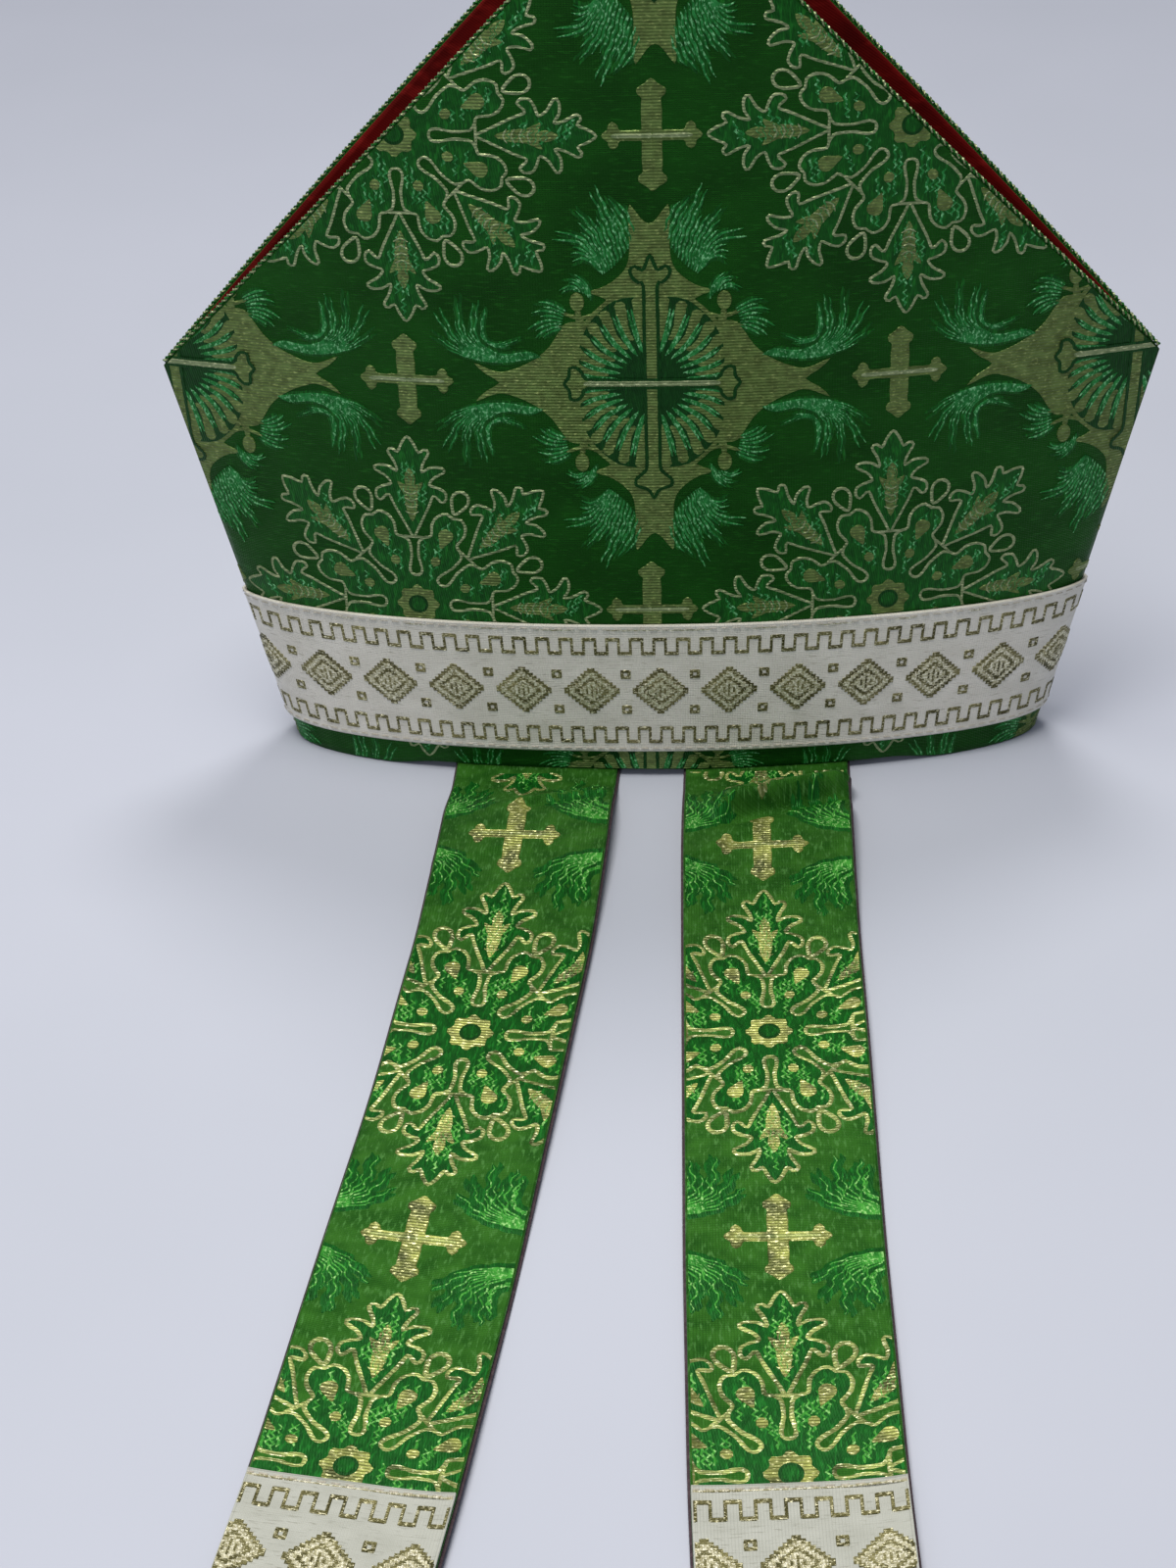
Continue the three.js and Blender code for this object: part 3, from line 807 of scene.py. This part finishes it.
def woven(
    name, stamps, half_length_at, place, low, high,
    hidden=None, margin=0.997, finishes=SHADED_CROWN_FINISHES,
):
    """Weaves motifs into a piece: each stamp is a motif with its place on the cut cloth. What
    passes the cloth's edges is trimmed, and so is what another piece covers."""
    points, faces, finish = [], [], []
    count = 0
    for motif, du, dv in stamps:
        for spots, sides, kind in motif:
            at = spots + (du, dv, 0)
            reach = half_length_at(np.clip(at[:, 1], low, high))
            if at[:, 1].max() < low or at[:, 1].min() > high or np.all(np.abs(at[:, 0]) > reach):
                continue
            points.append(at)
            faces += [[i + count for i in side] for side in sides]
            finish += [kind] * len(sides)
            count += len(at)
    points = np.vstack(points)
    reach = half_length_at(np.clip(points[:, 1], low, high))
    share = points[:, 0] / reach
    mesh = bpy.data.meshes.new(name)
    mesh.from_pydata(np.column_stack([share * 100, points[:, 1:]]).tolist(), [], faces)
    mesh.polygons.foreach_set("material_index", np.array(finish, dtype=np.int32))
    trimmed = bmesh.new()
    trimmed.from_mesh(mesh)
    cuts = [((100 * margin, 0, 0), (1, 0, 0), True), ((-100 * margin, 0, 0), (-1, 0, 0), True)]
    cuts += [((0, high, 0), (0, 1, 0), True), ((0, low, 0), (0, -1, 0), True)]
    for level in hidden or ():
        cuts.append(((0, level, 0), (0, 1, 0), False))
    for where, way, clear in cuts:
        parts = list(trimmed.verts) + list(trimmed.edges) + list(trimmed.faces)
        bmesh.ops.bisect_plane(trimmed, geom=parts, plane_co=where, plane_no=way, clear_outer=clear)
    if hidden:
        covered = [f for f in trimmed.faces if hidden[0] < f.calc_center_median().y < hidden[1]]
        bmesh.ops.delete(trimmed, geom=covered, context="FACES")
    trimmed.to_mesh(mesh)
    trimmed.free()
    spots = np.empty(3 * len(mesh.vertices))
    mesh.vertices.foreach_get("co", spots)
    spots = spots.reshape(-1, 3)
    v = np.clip(spots[:, 1], low, high)
    u = spots[:, 0] / 100 * half_length_at(v)
    nudge = 0.3
    along = place(u + nudge, v) - place(u - nudge, v)
    upward = place(u, np.minimum(v + nudge, high)) - place(u, np.maximum(v - nudge, low))
    out = np.cross(along, upward)
    out /= np.maximum(np.linalg.norm(out, axis=1), 1e-9)[:, None]
    at = place(u, v) + out * spots[:, 2:3]
    corners = [tuple(p.vertices) for p in mesh.polygons]
    kinds = [p.material_index for p in mesh.polygons]
    bpy.data.meshes.remove(mesh)
    made = mesh_object(name, at, corners, finishes, kinds, np.stack([u, v], axis=-1))
    settle(made)
    return made


COLUMN = 83.5
ROW = 87.35
FIRST_STAR = 156.2
CUT_ASIDE = -3.4
CUT_SLANT = 0.0166
CUT_LEVEL = 69
FIGURE_LOW = 0.6
FIGURE_HIGH = 327
GALLOON_LAP = 3


def lattice():
    """Where the motifs fall on a panel; the cloth was cut a little off the middle."""
    stamps = []
    for column in range(-2, 3):
        for row in range(-2, 3):
            v = FIRST_STAR + row * ROW
            u = column * COLUMN + CUT_ASIDE + CUT_SLANT * (v - CUT_LEVEL)
            if column % 2 == 0:
                motif = STAR if row % 2 == 0 else CROSS_A
            else:
                motif = CROSS_B if row % 2 == 0 else ROSETTE
            stamps.append((motif, u, v))
    return stamps


panel_extras = {}
for side, panel_name in ((-1, "back"), (1, "front")):
    figure = woven(
        panel_name + "_panel_figure", lattice(), panel_half_length, panel_place(side),
        FIGURE_LOW, FIGURE_HIGH, hidden=(GALLOON_LOW + GALLOON_LAP, GALLOON_HIGH - GALLOON_LAP),
    )
    panel_extras[panel_name] = [figure]

# Horn lining
# Red satin hangs between the horns: its two leaves are caught in the horns' slanted edges and
# meet in a fold that runs from one side corner to the other, so the mitre can lie flat.

LINING_OUTSIDE = 2.3
LINING_WALL = 1
LINING_EDGE_INSET = 3.6
LINING_START = 170.1
LINING_FOLD = 156
LINING_FOLD_THICKNESS = 7
LINING_FULLNESS = 0.7
LEAF_ROWS = 60
LINING_COLUMNS = 97


def lengths_along(path):
    """How far along a path each of its points lies."""
    return np.concatenate([[0], np.cumsum(np.linalg.norm(np.diff(path, axis=0), axis=1))])


def lining_leaf(side, face, levels):
    across, height = np.meshgrid(np.linspace(-1, 1, LINING_COLUMNS), levels)
    x = across * layer_half_width(height, LINING_EDGE_INSET)
    _, depth, _, _ = crown_section(height)
    rise = (height - CORNER_HEIGHT) / (TIP_HEIGHT - CORNER_HEIGHT)
    valley = (depth - LINING_OUTSIDE - 1) * rise**0.8
    panel_face = layer_depth(height, LINING_OUTSIDE, x / layer_half_width(height, LINING_OUTSIDE))
    loose = mix(valley, panel_face, np.abs(across) ** 3)
    fullness = LINING_FULLNESS * (1 + np.sin(x / 11 + height / 29)) * np.sin(np.pi * np.clip(rise, 0, 1))
    fullness = fullness * (1 - across**2)
    out = np.minimum(loose, panel_face) - face * LINING_WALL - fullness
    return np.stack([x, CROWN_Y + side * np.maximum(out, SEAM_HALF_GAP), height], axis=-1)


def lining_grid(face):
    levels = np.linspace(LINING_START, PANEL_TOP - 0.25, LEAF_ROWS)
    fold = lining_leaf(-1, face, levels[:1])
    fold[..., 1] = CROWN_Y
    fold[..., 2] = LINING_FOLD + face * LINING_FOLD_THICKNESS
    return np.concatenate([lining_leaf(-1, face, levels[::-1]), fold, lining_leaf(1, face, levels)])


lining_outer = lining_grid(0)
lining_down = lengths_along(lining_outer[:, LINING_COLUMNS // 2])
lining_flat = np.stack([lining_outer[..., 0], np.repeat(lining_down[:, None], LINING_COLUMNS, 1)], axis=-1)
horn_lining = closed_sheet(
    "horn_lining_satin", lining_outer, lining_grid(1), [acetate_satin], 0.2, lining_flat
)
settle(horn_lining, "horn_lining")

# Twisted edge cord: a gilt strand and a green one, oversewn along both edges of each horn
CORD_STRAND = 0.42
CORD_TWIST = 3.2
CORD_STEP = 0.8
CORD_SIDES = 5
CORD_LEVELS = 150


def twisted_cord(name, path, finishes):
    """Two strands wound round a path of points in millimetres."""
    length = lengths_along(path)
    at = np.arange(0, length[-1], CORD_STEP)
    line = np.stack([np.interp(at, length, path[:, k]) for k in range(3)], axis=-1)
    ahead = np.gradient(line, axis=0)
    ahead /= np.linalg.norm(ahead, axis=1)[:, None]
    across = np.cross(ahead, (0, 1, 0))
    across /= np.linalg.norm(across, axis=1)[:, None]
    beside = np.cross(ahead, across)
    points, faces, kinds = [], [], []
    for strand in (0, 1):
        turn = at / CORD_TWIST * 2 * math.pi + strand * math.pi
        middle = line + CORD_STRAND * (np.cos(turn)[:, None] * across + np.sin(turn)[:, None] * beside)
        thick = CORD_STRAND * (1 + 0.35 * np.sin(at * 1.7 + strand) * np.sin(at * 0.37))
        start = len(points) * CORD_SIDES * len(line)
        ring = [
            middle + thick[:, None] * (math.cos(a) * across + math.sin(a) * beside)
            for a in np.linspace(0, 2 * math.pi, CORD_SIDES, endpoint=False)
        ]
        points.append(np.stack(ring, axis=1).reshape(-1, 3))
        sides = sheet_faces(len(line), CORD_SIDES, is_loop=True)
        faces += [tuple(start + i for i in side) for side in sides]
        kinds += [strand] * len(sides)
    flat = np.concatenate([np.stack([np.repeat(at, CORD_SIDES)] * 2, axis=-1)] * 2)
    cord = mesh_object(name, np.concatenate(points), faces, finishes, kinds, flat)
    settle(cord)
    return cord


cord_finishes = [SHADED_CROWN_FINISHES[LIGHT], SHADED_CROWN_FINISHES[BRIGHT]]
for side, horn_name in ((-1, "back"), (1, "front")):
    levels = np.linspace(CORNER_HEIGHT + 1, PANEL_TOP, CORD_LEVELS)
    for hand, hand_name in ((-1, "left"), (1, "right")):
        half_width, _, _, edge_depth = crown_section(levels)
        out = SEAM_HALF_GAP + np.maximum(edge_depth - PANEL_WALL * 0.35, 0)
        edge = np.stack([hand * (half_width + 0.55), CROWN_Y + side * out, levels + 0.4], axis=-1)
        cord = twisted_cord(f"{horn_name}_edge_cord_{hand_name}", edge, cord_finishes)
        panel_extras[horn_name].append(cord)

# Galloon band
# A woven galloon 52 mm wide, ivory with gilt keys and diamonds, is sewn round the base over
# both panels. Its figure repeats 25 times in the loop.

GALLOON_WIDTH = 52
GALLOON_WALL = 1
GALLOON_OUTSIDE = -1.5
GALLOON_REPEATS = 25
GALLOON_LOOP = 612
SELVEDGE = 1.4
TAPE_GILT, TAPE_PALE, TAPE_THREAD = range(3)
GALLOON_ROWS = 27
GALLOON_COLUMNS = 288
TAPE_EDGE = 0.2


def rayon_ribbon(name, colours):
    return woven_finish(
        name, colours, cloud=(18, 9), fleck=(5, 0.7), fleck_from=0.58, ribs=((0.9, 90, 1), (0.7, 0, 0.7)),
        relief=0.12, roughness=(0.55, 0.65), shader={"Sheen Weight": 0.2, "Sheen Roughness": 0.4},
    )


# Ivory rayon ribbon, woven in upright ribs: matt and faintly uneven, with a few darker threads.
# The ribs lie 0.5 mm apart, and are drawn 0.9 mm apart so that they show
ivory_ribbon = rayon_ribbon("ivory_rayon_ribbon", ("d6d3c7", "e3e0d5", "bbb7a8"))
# The galloon's gilt thread is an older, browner gold than the brocade's, flecked with painted glints
galloon_gilt = woven_finish(
    "galloon_gilt_thread", ("48451f", "837e52", "ece8c4"), cloud=(13, 8), fleck=(1.1, 0.7), fleck_from=0.52,
    ribs=((0.6, 8, 1),), relief=0.2, roughness=(0.35, 0.5), shader={"Metallic": 0.6},
)
# Pale gilt filling, a thin silvery gold wound on white: nearly the ribbon's colour, with painted glints
pale_gilt = woven_finish(
    "pale_gilt_filling", ("8f8a62", "c4c09c", "f4f1da"), cloud=(4, 3), fleck=(1, 0.7), fleck_from=0.46,
    ribs=((0.7, 80, 0.7),), relief=0.2, roughness=(0.35, 0.5), shader={"Metallic": 0.4},
)
# Spun polyester sewing thread, twisted: ivory and matt
sewing_thread = woven_finish(
    "spun_polyester_thread", ("b4ad9d", "c6c0b0", "d3cdbd"), cloud=(2, 2), fleck=(1.5, 0.5), fleck_from=0.5,
    ribs=((0.5, 60, 1),), relief=0.1, roughness=(0.5, 0.65), shader={},
)
TAPE_FINISHES = [galloon_gilt, pale_gilt, sewing_thread]
galloon_cut, _ = cut_table(GALLOON_OUTSIDE)


def selvedge_swell(w):
    """The tape is a little thicker along both selvedges."""
    from_edge = np.minimum(w, GALLOON_WIDTH - w)
    return 0.25 * (1 - eased(from_edge / SELVEDGE))


def galloon_place(inset=0):
    """Places the tape round the crown: s runs along it from the middle of the back."""

    def place(s, w):
        quarter = GALLOON_LOOP / 4
        s = (s + GALLOON_LOOP / 2) % GALLOON_LOOP - GALLOON_LOOP / 2
        behind = np.abs(s) <= quarter
        share = np.where(behind, s / quarter, (np.sign(s) * 2 * quarter - s) / quarter)
        height = GALLOON_LOW + w
        across = across_at(galloon_cut, share, height)
        swell = selvedge_swell(w) if inset == 0 else 0
        at_side = np.abs(share) ** 12
        x = across * (layer_half_width(height, GALLOON_OUTSIDE + inset) + swell)
        out = layer_depth(height, GALLOON_OUTSIDE + inset, across)
        out = out + (GALLOON_OUTSIDE + inset) * at_side + swell
        out = out + ripple(s * 1.3, w) * 0.25 * (1 - at_side)
        return np.stack([x, CROWN_Y + np.where(behind, -1, 1) * out, height], axis=-1)

    return place


def block(low_left, high_right, finish, lift):
    (x0, y0), (x1, y1) = low_left, high_right
    return patch([(x0, y0), (x1, y0), (x1, y1), (x0, y1)], finish, lift, spacing=20, rounded=False)


def stepped_diamond(half_width, half_height, steps, finish, lift, middle):
    """A woven diamond, whose slanted sides climb in steps of a thread or two."""
    quarter = []
    for i in range(steps):
        x = half_width * (i + 1) / steps
        y = half_height * (steps - i) / steps
        quarter += [(x, y)] if i == 0 else [(x - half_width / steps, y), (x, y)]
    outline = quarter + [(x, -y) for x, y in reversed(quarter)]
    outline += [(-x, y) for x, y in reversed(outline)]
    outline = [(x + middle[0], y + middle[1]) for x, y in outline]
    return patch(outline, finish, lift, spacing=3.5, rounded=False)


# the four sides of a hollow square: left, bottom, right, top and lift
SQUARE_SIDES = (
    (-1.7, -1.7, 1.7, -0.75, 0.2), (-1.7, 0.75, 1.7, 1.7, 0.2),
    (-1.7, -1.2, -0.75, 1.2, 0.24), (0.75, -1.2, 1.7, 1.2, 0.24),
)


def galloon_repeat(pitch):
    """One repeat of the galloon: a diamond, two hollow squares and three keys on each edge."""
    drawn = []
    middle = (0, 25.3)
    for half_width, half_height, steps, finish, lift in (
        (9.8, 9.3, 8, TAPE_GILT, 0.2), (7.9, 7.4, 7, TAPE_PALE, 0.25),
        (6.0, 5.5, 6, TAPE_GILT, 0.3), (4.2, 3.8, 4, TAPE_PALE, 0.35),
    ):
        drawn.append(stepped_diamond(half_width, half_height, steps, finish, lift, middle))
    for x in (-1.7, 0, 1.7):
        reach = 2.6 - abs(x) * 0.8
        drawn.append(block((x - 0.35, middle[1] - reach), (x + 0.35, middle[1] + reach), TAPE_GILT, 0.4))
    for y in (17.5, 32.1):
        x = pitch / 2
        for x0, y0, x1, y1, lift in SQUARE_SIDES:
            drawn.append(block((x + x0, y + y0), (x + x1, y + y1), TAPE_GILT, lift))
    key = pitch / 3
    for low, high, shift in ((40.7, 46.4, 0), (4.1, 9.7, key / 4)):
        for k in range(3):
            x = (k - 1) * key + shift
            drawn.append(block((x - key / 4, high - 0.6), (x + key / 4, high + 0.6), TAPE_GILT, 0.22))
            drawn.append(block((x + key / 4, low - 0.6), (x + 3 * key / 4, low + 0.6), TAPE_GILT, 0.22))
            for edge in (x - key / 4, x + key / 4):
                drawn.append(block((edge - 0.36, low - 0.55), (edge + 0.36, high + 0.55), TAPE_GILT, 0.18))
    for k in range(6):
        x = (k - 2.5) * pitch / 6
        for y in (1.3, GALLOON_WIDTH - 1.3):
            drawn.append(band([(x - 1.3, y), (x + 1.3, y)], 0.6, TAPE_THREAD, lift=0.5, step=1.3))
    drawn.append(block((-pitch / 2, 49.9), (pitch / 2, 50.25), TAPE_PALE, 0.12))
    return drawn


tape_rows = np.linspace(0, GALLOON_WIDTH, GALLOON_ROWS - 2)
tape_s, tape_w = np.meshgrid(
    np.arange(GALLOON_COLUMNS) * GALLOON_LOOP / GALLOON_COLUMNS - GALLOON_LOOP / 2,
    np.sort(np.append(tape_rows, [SELVEDGE / 2, GALLOON_WIDTH - SELVEDGE / 2])),
)
tape_flat = np.stack([tape_s, tape_w], axis=-1)
galloon_band = closed_sheet(
    "galloon_band_tape", galloon_place()(tape_s, tape_w), galloon_place(GALLOON_WALL)(tape_s, tape_w),
    [ivory_ribbon], 0.15, tape_flat, is_loop=True,
)
settle(galloon_band, "galloon_band")
GALLOON_PITCH = GALLOON_LOOP / GALLOON_REPEATS
REPEAT = galloon_repeat(GALLOON_PITCH)
galloon_stamps = [
    (REPEAT, -1 + (k - GALLOON_REPEATS // 2) * GALLOON_PITCH, 0) for k in range(GALLOON_REPEATS)
]
galloon_figure = woven(
    "galloon_figure", galloon_stamps, lambda w: np.full_like(w, GALLOON_LOOP), galloon_place(),
    TAPE_EDGE, GALLOON_WIDTH - TAPE_EDGE, finishes=TAPE_FINISHES,
)

# Lappets
# Two strips of the same brocade, each turned in over a dark lining, are sewn inside the back
# rim. They come out under it and lie on the floor, with a strip of galloon across each end.

LAPPET_HALF_WIDTH = 29.3
LAPPET_WALL = 1
LAPPET_MARGIN = 0.8
CLOTH_GAP = 0.3
LAPPET_TOP = 26
LAPPET_END = 420
LAPPET_HEM = 3
HUMP = 6
HUMP_START = 36
HUMP_PEAK = 66
HUMP_END = 140
LAPPET_COLUMNS = 49
LAPPET_STEP = 2.4
CREASED_END = 109
CREASE_DROP = 0.2
CREASE_DIP = 0.35
# each row: distance behind the crown's middle, sideways place of the strip's middle, turn
LAPPETS = {
    "left": ((30, -46.7, 0), (80, -49.6, -3), (127, -53.7, -5), (205, -62.8, -7), (283, -72.6, -8),
             (363, -83.8, -10), (420, -93.6, -10.5), (460, -100.5, -10.8)),
    "right": ((30, 37.3, 0), (80, 36.2, 0), (127, 36.1, 0), (205, 36.2, 0.5), (283, 36.3, 1.5),
              (363, 37.2, 3.5), (420, 38.9, 4), (460, 40.1, 4.3)),
}
# each crease: where it starts and ends (across, behind), its height and its width; its near
# side drops steeply into a dip
CREASES = {
    "left": ((-6, 60, 26, 48, 2.2, 5), (-29, 96, -6, 84, 0.7, 5)),
    "right": ((-16, 66, 30, 47, 8.5, 9), (-29, 94, -4, 76, 1.2, 5), (4, 92, 29, 82, 0.7, 5)),
}


def lappet_wave(name, across, behind):
    """How far a strip stands off the floor in slight waves and in its creases by the rim."""
    x = across * LAPPET_HALF_WIDTH
    out = eased((behind - 60) / 60)
    wave = 0.45 * (1 + np.sin(behind / 19 + x / 23 + (1 if name == "left" else 3)))
    curl = 0.9 * np.abs(across) ** 3 * (1 + np.sin(behind / 31 + 2 * across))
    height = (wave + curl) * out
    for x0, b0, x1, b1, rise, wide in CREASES[name]:
        length = math.hypot(x1 - x0, b1 - b0)
        along = ((x - x0) * (x1 - x0) + (behind - b0) * (b1 - b0)) / length
        aside = ((behind - b0) * (x1 - x0) - (x - x0) * (b1 - b0)) / length
        ends = eased((along + 8) / 14) * eased((length + 8 - along) / 14)
        slope = np.where(aside > 0, wide * CREASE_DROP, wide)
        dip = CREASE_DIP * np.exp(-(((aside - 0.6 * wide) / (0.35 * wide)) ** 2))
        height = height + rise * (np.exp(-((aside / slope) ** 2)) - dip) * ends * eased((behind - 36) / 10)
    return height


def lappet_lying(name, behind, across, half_width, above):
    table = np.array(LAPPETS[name])
    spread = np.linspace(-14, 14, 7)
    near = np.asarray(behind, dtype=float)[..., None] + spread
    middle = np.interp(near, table[:, 0], table[:, 1]).mean(axis=-1)
    turn = np.radians(np.interp(near, table[:, 0], table[:, 2]).mean(axis=-1))
    x = middle + across * half_width * np.cos(turn)
    back = behind - across * half_width * np.sin(turn)
    rise = eased((back - HUMP_START) / (HUMP_PEAK - HUMP_START))
    fall = eased((back - HUMP_PEAK) / (HUMP_END - HUMP_PEAK))
    z = above + HUMP * rise * (1 - fall) + lappet_wave(name, across, behind)
    return np.stack([x, CROWN_Y - back, z], axis=-1)


def lappet_grid(name, half_width, depth, face):
    """One face of a strip: up inside the panel, round the rim, and out over the floor."""
    inward = CLOTH_GAP + depth + face * LAPPET_WALL
    across = np.linspace(-1, 1, LAPPET_COLUMNS)
    x = LAPPETS[name][0][1] + across * half_width
    rows = []

    def panel_face(height):
        return SEAM_HALF_GAP + layer_depth(height, PANEL_WALL, x / layer_half_width(height, PANEL_WALL))

    for height in np.linspace(LAPPET_TOP, RIM_ARCH, 7):
        rows.append(np.stack([x, CROWN_Y + inward - panel_face(height), x * 0 + height], axis=-1))
    for angle in np.radians([18, 36, 54, 72, 90]):
        y = CROWN_Y + inward * math.cos(angle) - panel_face(RIM_ARCH)
        rows.append(np.stack([x, y, x * 0 + RIM_ARCH - inward * math.sin(angle)], axis=-1))
    creased = np.arange(37, CREASED_END, LAPPET_STEP / 2)
    for behind in np.append(creased, np.linspace(CREASED_END, LAPPET_END, 130)):
        rows.append(lappet_lying(name, np.full_like(across, behind), across, half_width, RIM_ARCH - inward))
    return np.array(rows)


def lappet_layer(piece, name, half_width, depth, finish):
    outer, inner = (lappet_grid(name, half_width, depth, face) for face in (0, 1))
    down = lengths_along(outer[:, LAPPET_COLUMNS // 2])
    across = np.linspace(-half_width, half_width, LAPPET_COLUMNS)
    flat = np.stack(np.meshgrid(across, -down), axis=-1)
    layer = closed_sheet(piece + "_cloth", outer, inner, finish, 0.25, flat)
    settle(layer, piece)
    return layer, float(down[-1])


# Cotton and polyester lining, plain woven: a matt dark plum brown with crossed threads
plain_lining = woven_finish(
    "plain_woven_lining", ("3b2c33", "4b3b42", "54434a"), cloud=(8, 6), fleck=(2, 2), fleck_from=0.5,
    ribs=((0.8, 0, 1), (0.8, 90, 1)), relief=0.12, roughness=(0.75, 0.85), shader={},
)
# The crown's satin again, in a copy painted lighter where it lies flat under the lamp: painted light, mottled
# with yellower green painted sheen
lit_lying_satin = green_satin(
    "rayon_satin_lying_lit", ("1b4712", "31631f", "46773a"), cloud=(11, 9), fleck=(1.2, 4), fleck_from=0.54
)
# Its figure too, in a copy painted lighter: painted light on the green floats and painted glints on the gilt
# film, where it lies under the lamp
LIT_LYING_FINISHES = figure_finishes(
    "lying", gilt=("464e20", "a3aa56", "f6f6b2"), light_gilt=("465424", "a9b568", "f8fac8"),
    bright=("083c0d", "0f5416", "1d7025"), pale_floss_highlight=("1f6e1d", "4aa23c", "a2dc86"),
    shade=("0a300c", "113e13", "1a541c"), dapple=(11, 8), metallic=0.4, glitter=0.55,
)
# The same ribbon where it lies flat under the lamp, in a copy painted a greyer, darker ivory against the
# lamp's light, as it looks in the photo
darker_lying_ribbon = rayon_ribbon("ivory_rayon_ribbon_lying_darker", ("b0b3aa", "bbbeb6", "999b90"))
BOLD_ROSETTE = rosette_motif(bold=1.25, pitch=1.45)
SCROLLS = scroll_motif(pale=3, wave=0.8, full=6)

# each row: how far behind the crown's middle the first cross lies, how much longer than woven
# the figure lies below it, how fast that is lost down the strip, and how far aside it was cut
PATTERNS = {
    "left": (78, 1.182, 0.00042, -3.2),
    "right": (85, 1.079, 0.0001, -2.0),
}
FIGURE_START = 34
FIGURE_END = 365.5
STRIP_LIFT = 0.05
END_TAPE_ROWS = 29


def woven_at(name, behind):
    """How far up the cloth from its first cross a place on the lying strip was woven."""
    first, longer, loss, _ = PATTERNS[name]
    return (math.sqrt(longer**2 - 4 * loss * (behind - first)) - longer) / (2 * loss)


def strip_half_width(v):
    return np.full_like(v, LAPPET_HALF_WIDTH)


def lappet_place(name):
    """Places the strip's figure: u across, v up the strip from its first cross."""
    first, longer, loss, _ = PATTERNS[name]

    def place(u, v):
        behind = first - longer * v - loss * v * v
        across = u / LAPPET_HALF_WIDTH
        return lappet_lying(name, behind, across, LAPPET_HALF_WIDTH, RIM_ARCH - CLOTH_GAP + STRIP_LIFT)

    return place


def end_tape_place(name, thickness=GALLOON_WALL):
    """Places the end galloon: s across the strip from its middle, w up it from the hem."""

    def place(s, w):
        behind = LAPPET_END - LAPPET_HEM - w
        above = RIM_ARCH + thickness + selvedge_swell(w) * (thickness > 0)
        return lappet_lying(name, behind, s / LAPPET_HALF_WIDTH, LAPPET_HALF_WIDTH, above)

    return place


for name in LAPPETS:
    lining_half_width = LAPPET_HALF_WIDTH + LAPPET_MARGIN
    lining_depth = LAPPET_WALL + CLOTH_GAP
    strip, strip_length = lappet_layer(
        "lappet_" + name, name, LAPPET_HALF_WIDTH, 0, [lit_lying_satin]
    )
    lining, lining_length = lappet_layer(
        "lappet_lining_" + name, name, lining_half_width, lining_depth, [plain_lining]
    )
    aside = PATTERNS[name][3]
    stamps = []
    for row in range(-1, 5):
        v = -row * ROW
        stamps.append((CROSS_B if row % 2 == 0 else BOLD_ROSETTE, aside, v))
        for column in (-COLUMN, COLUMN):
            stamps.append((SCROLLS if row % 2 == 0 else CROSS_A, aside + column, v))
    figure = woven(
        f"lappet_{name}_figure", stamps, strip_half_width, lappet_place(name),
        woven_at(name, FIGURE_END), woven_at(name, FIGURE_START), margin=0.985, finishes=LIT_LYING_FINISHES,
    )
    s, w = np.meshgrid(
        np.linspace(-LAPPET_HALF_WIDTH, LAPPET_HALF_WIDTH, LAPPET_COLUMNS),
        np.linspace(0, GALLOON_WIDTH, END_TAPE_ROWS),
    )
    tape = closed_sheet(
        f"lappet_galloon_{name}_tape", end_tape_place(name)(s, w), end_tape_place(name, 0)(s, w),
        [darker_lying_ribbon], 0.15, np.stack([s, w], axis=-1),
    )
    settle(tape, "lappet_galloon_" + name)
    tape_stamps = [(REPEAT, k * GALLOON_PITCH - 2, 0) for k in range(-2, 3)]
    tape_figure = woven(
        f"lappet_galloon_{name}_figure", tape_stamps, strip_half_width, end_tape_place(name),
        TAPE_EDGE, GALLOON_WIDTH - TAPE_EDGE, margin=0.99, finishes=TAPE_FINISHES,
    )
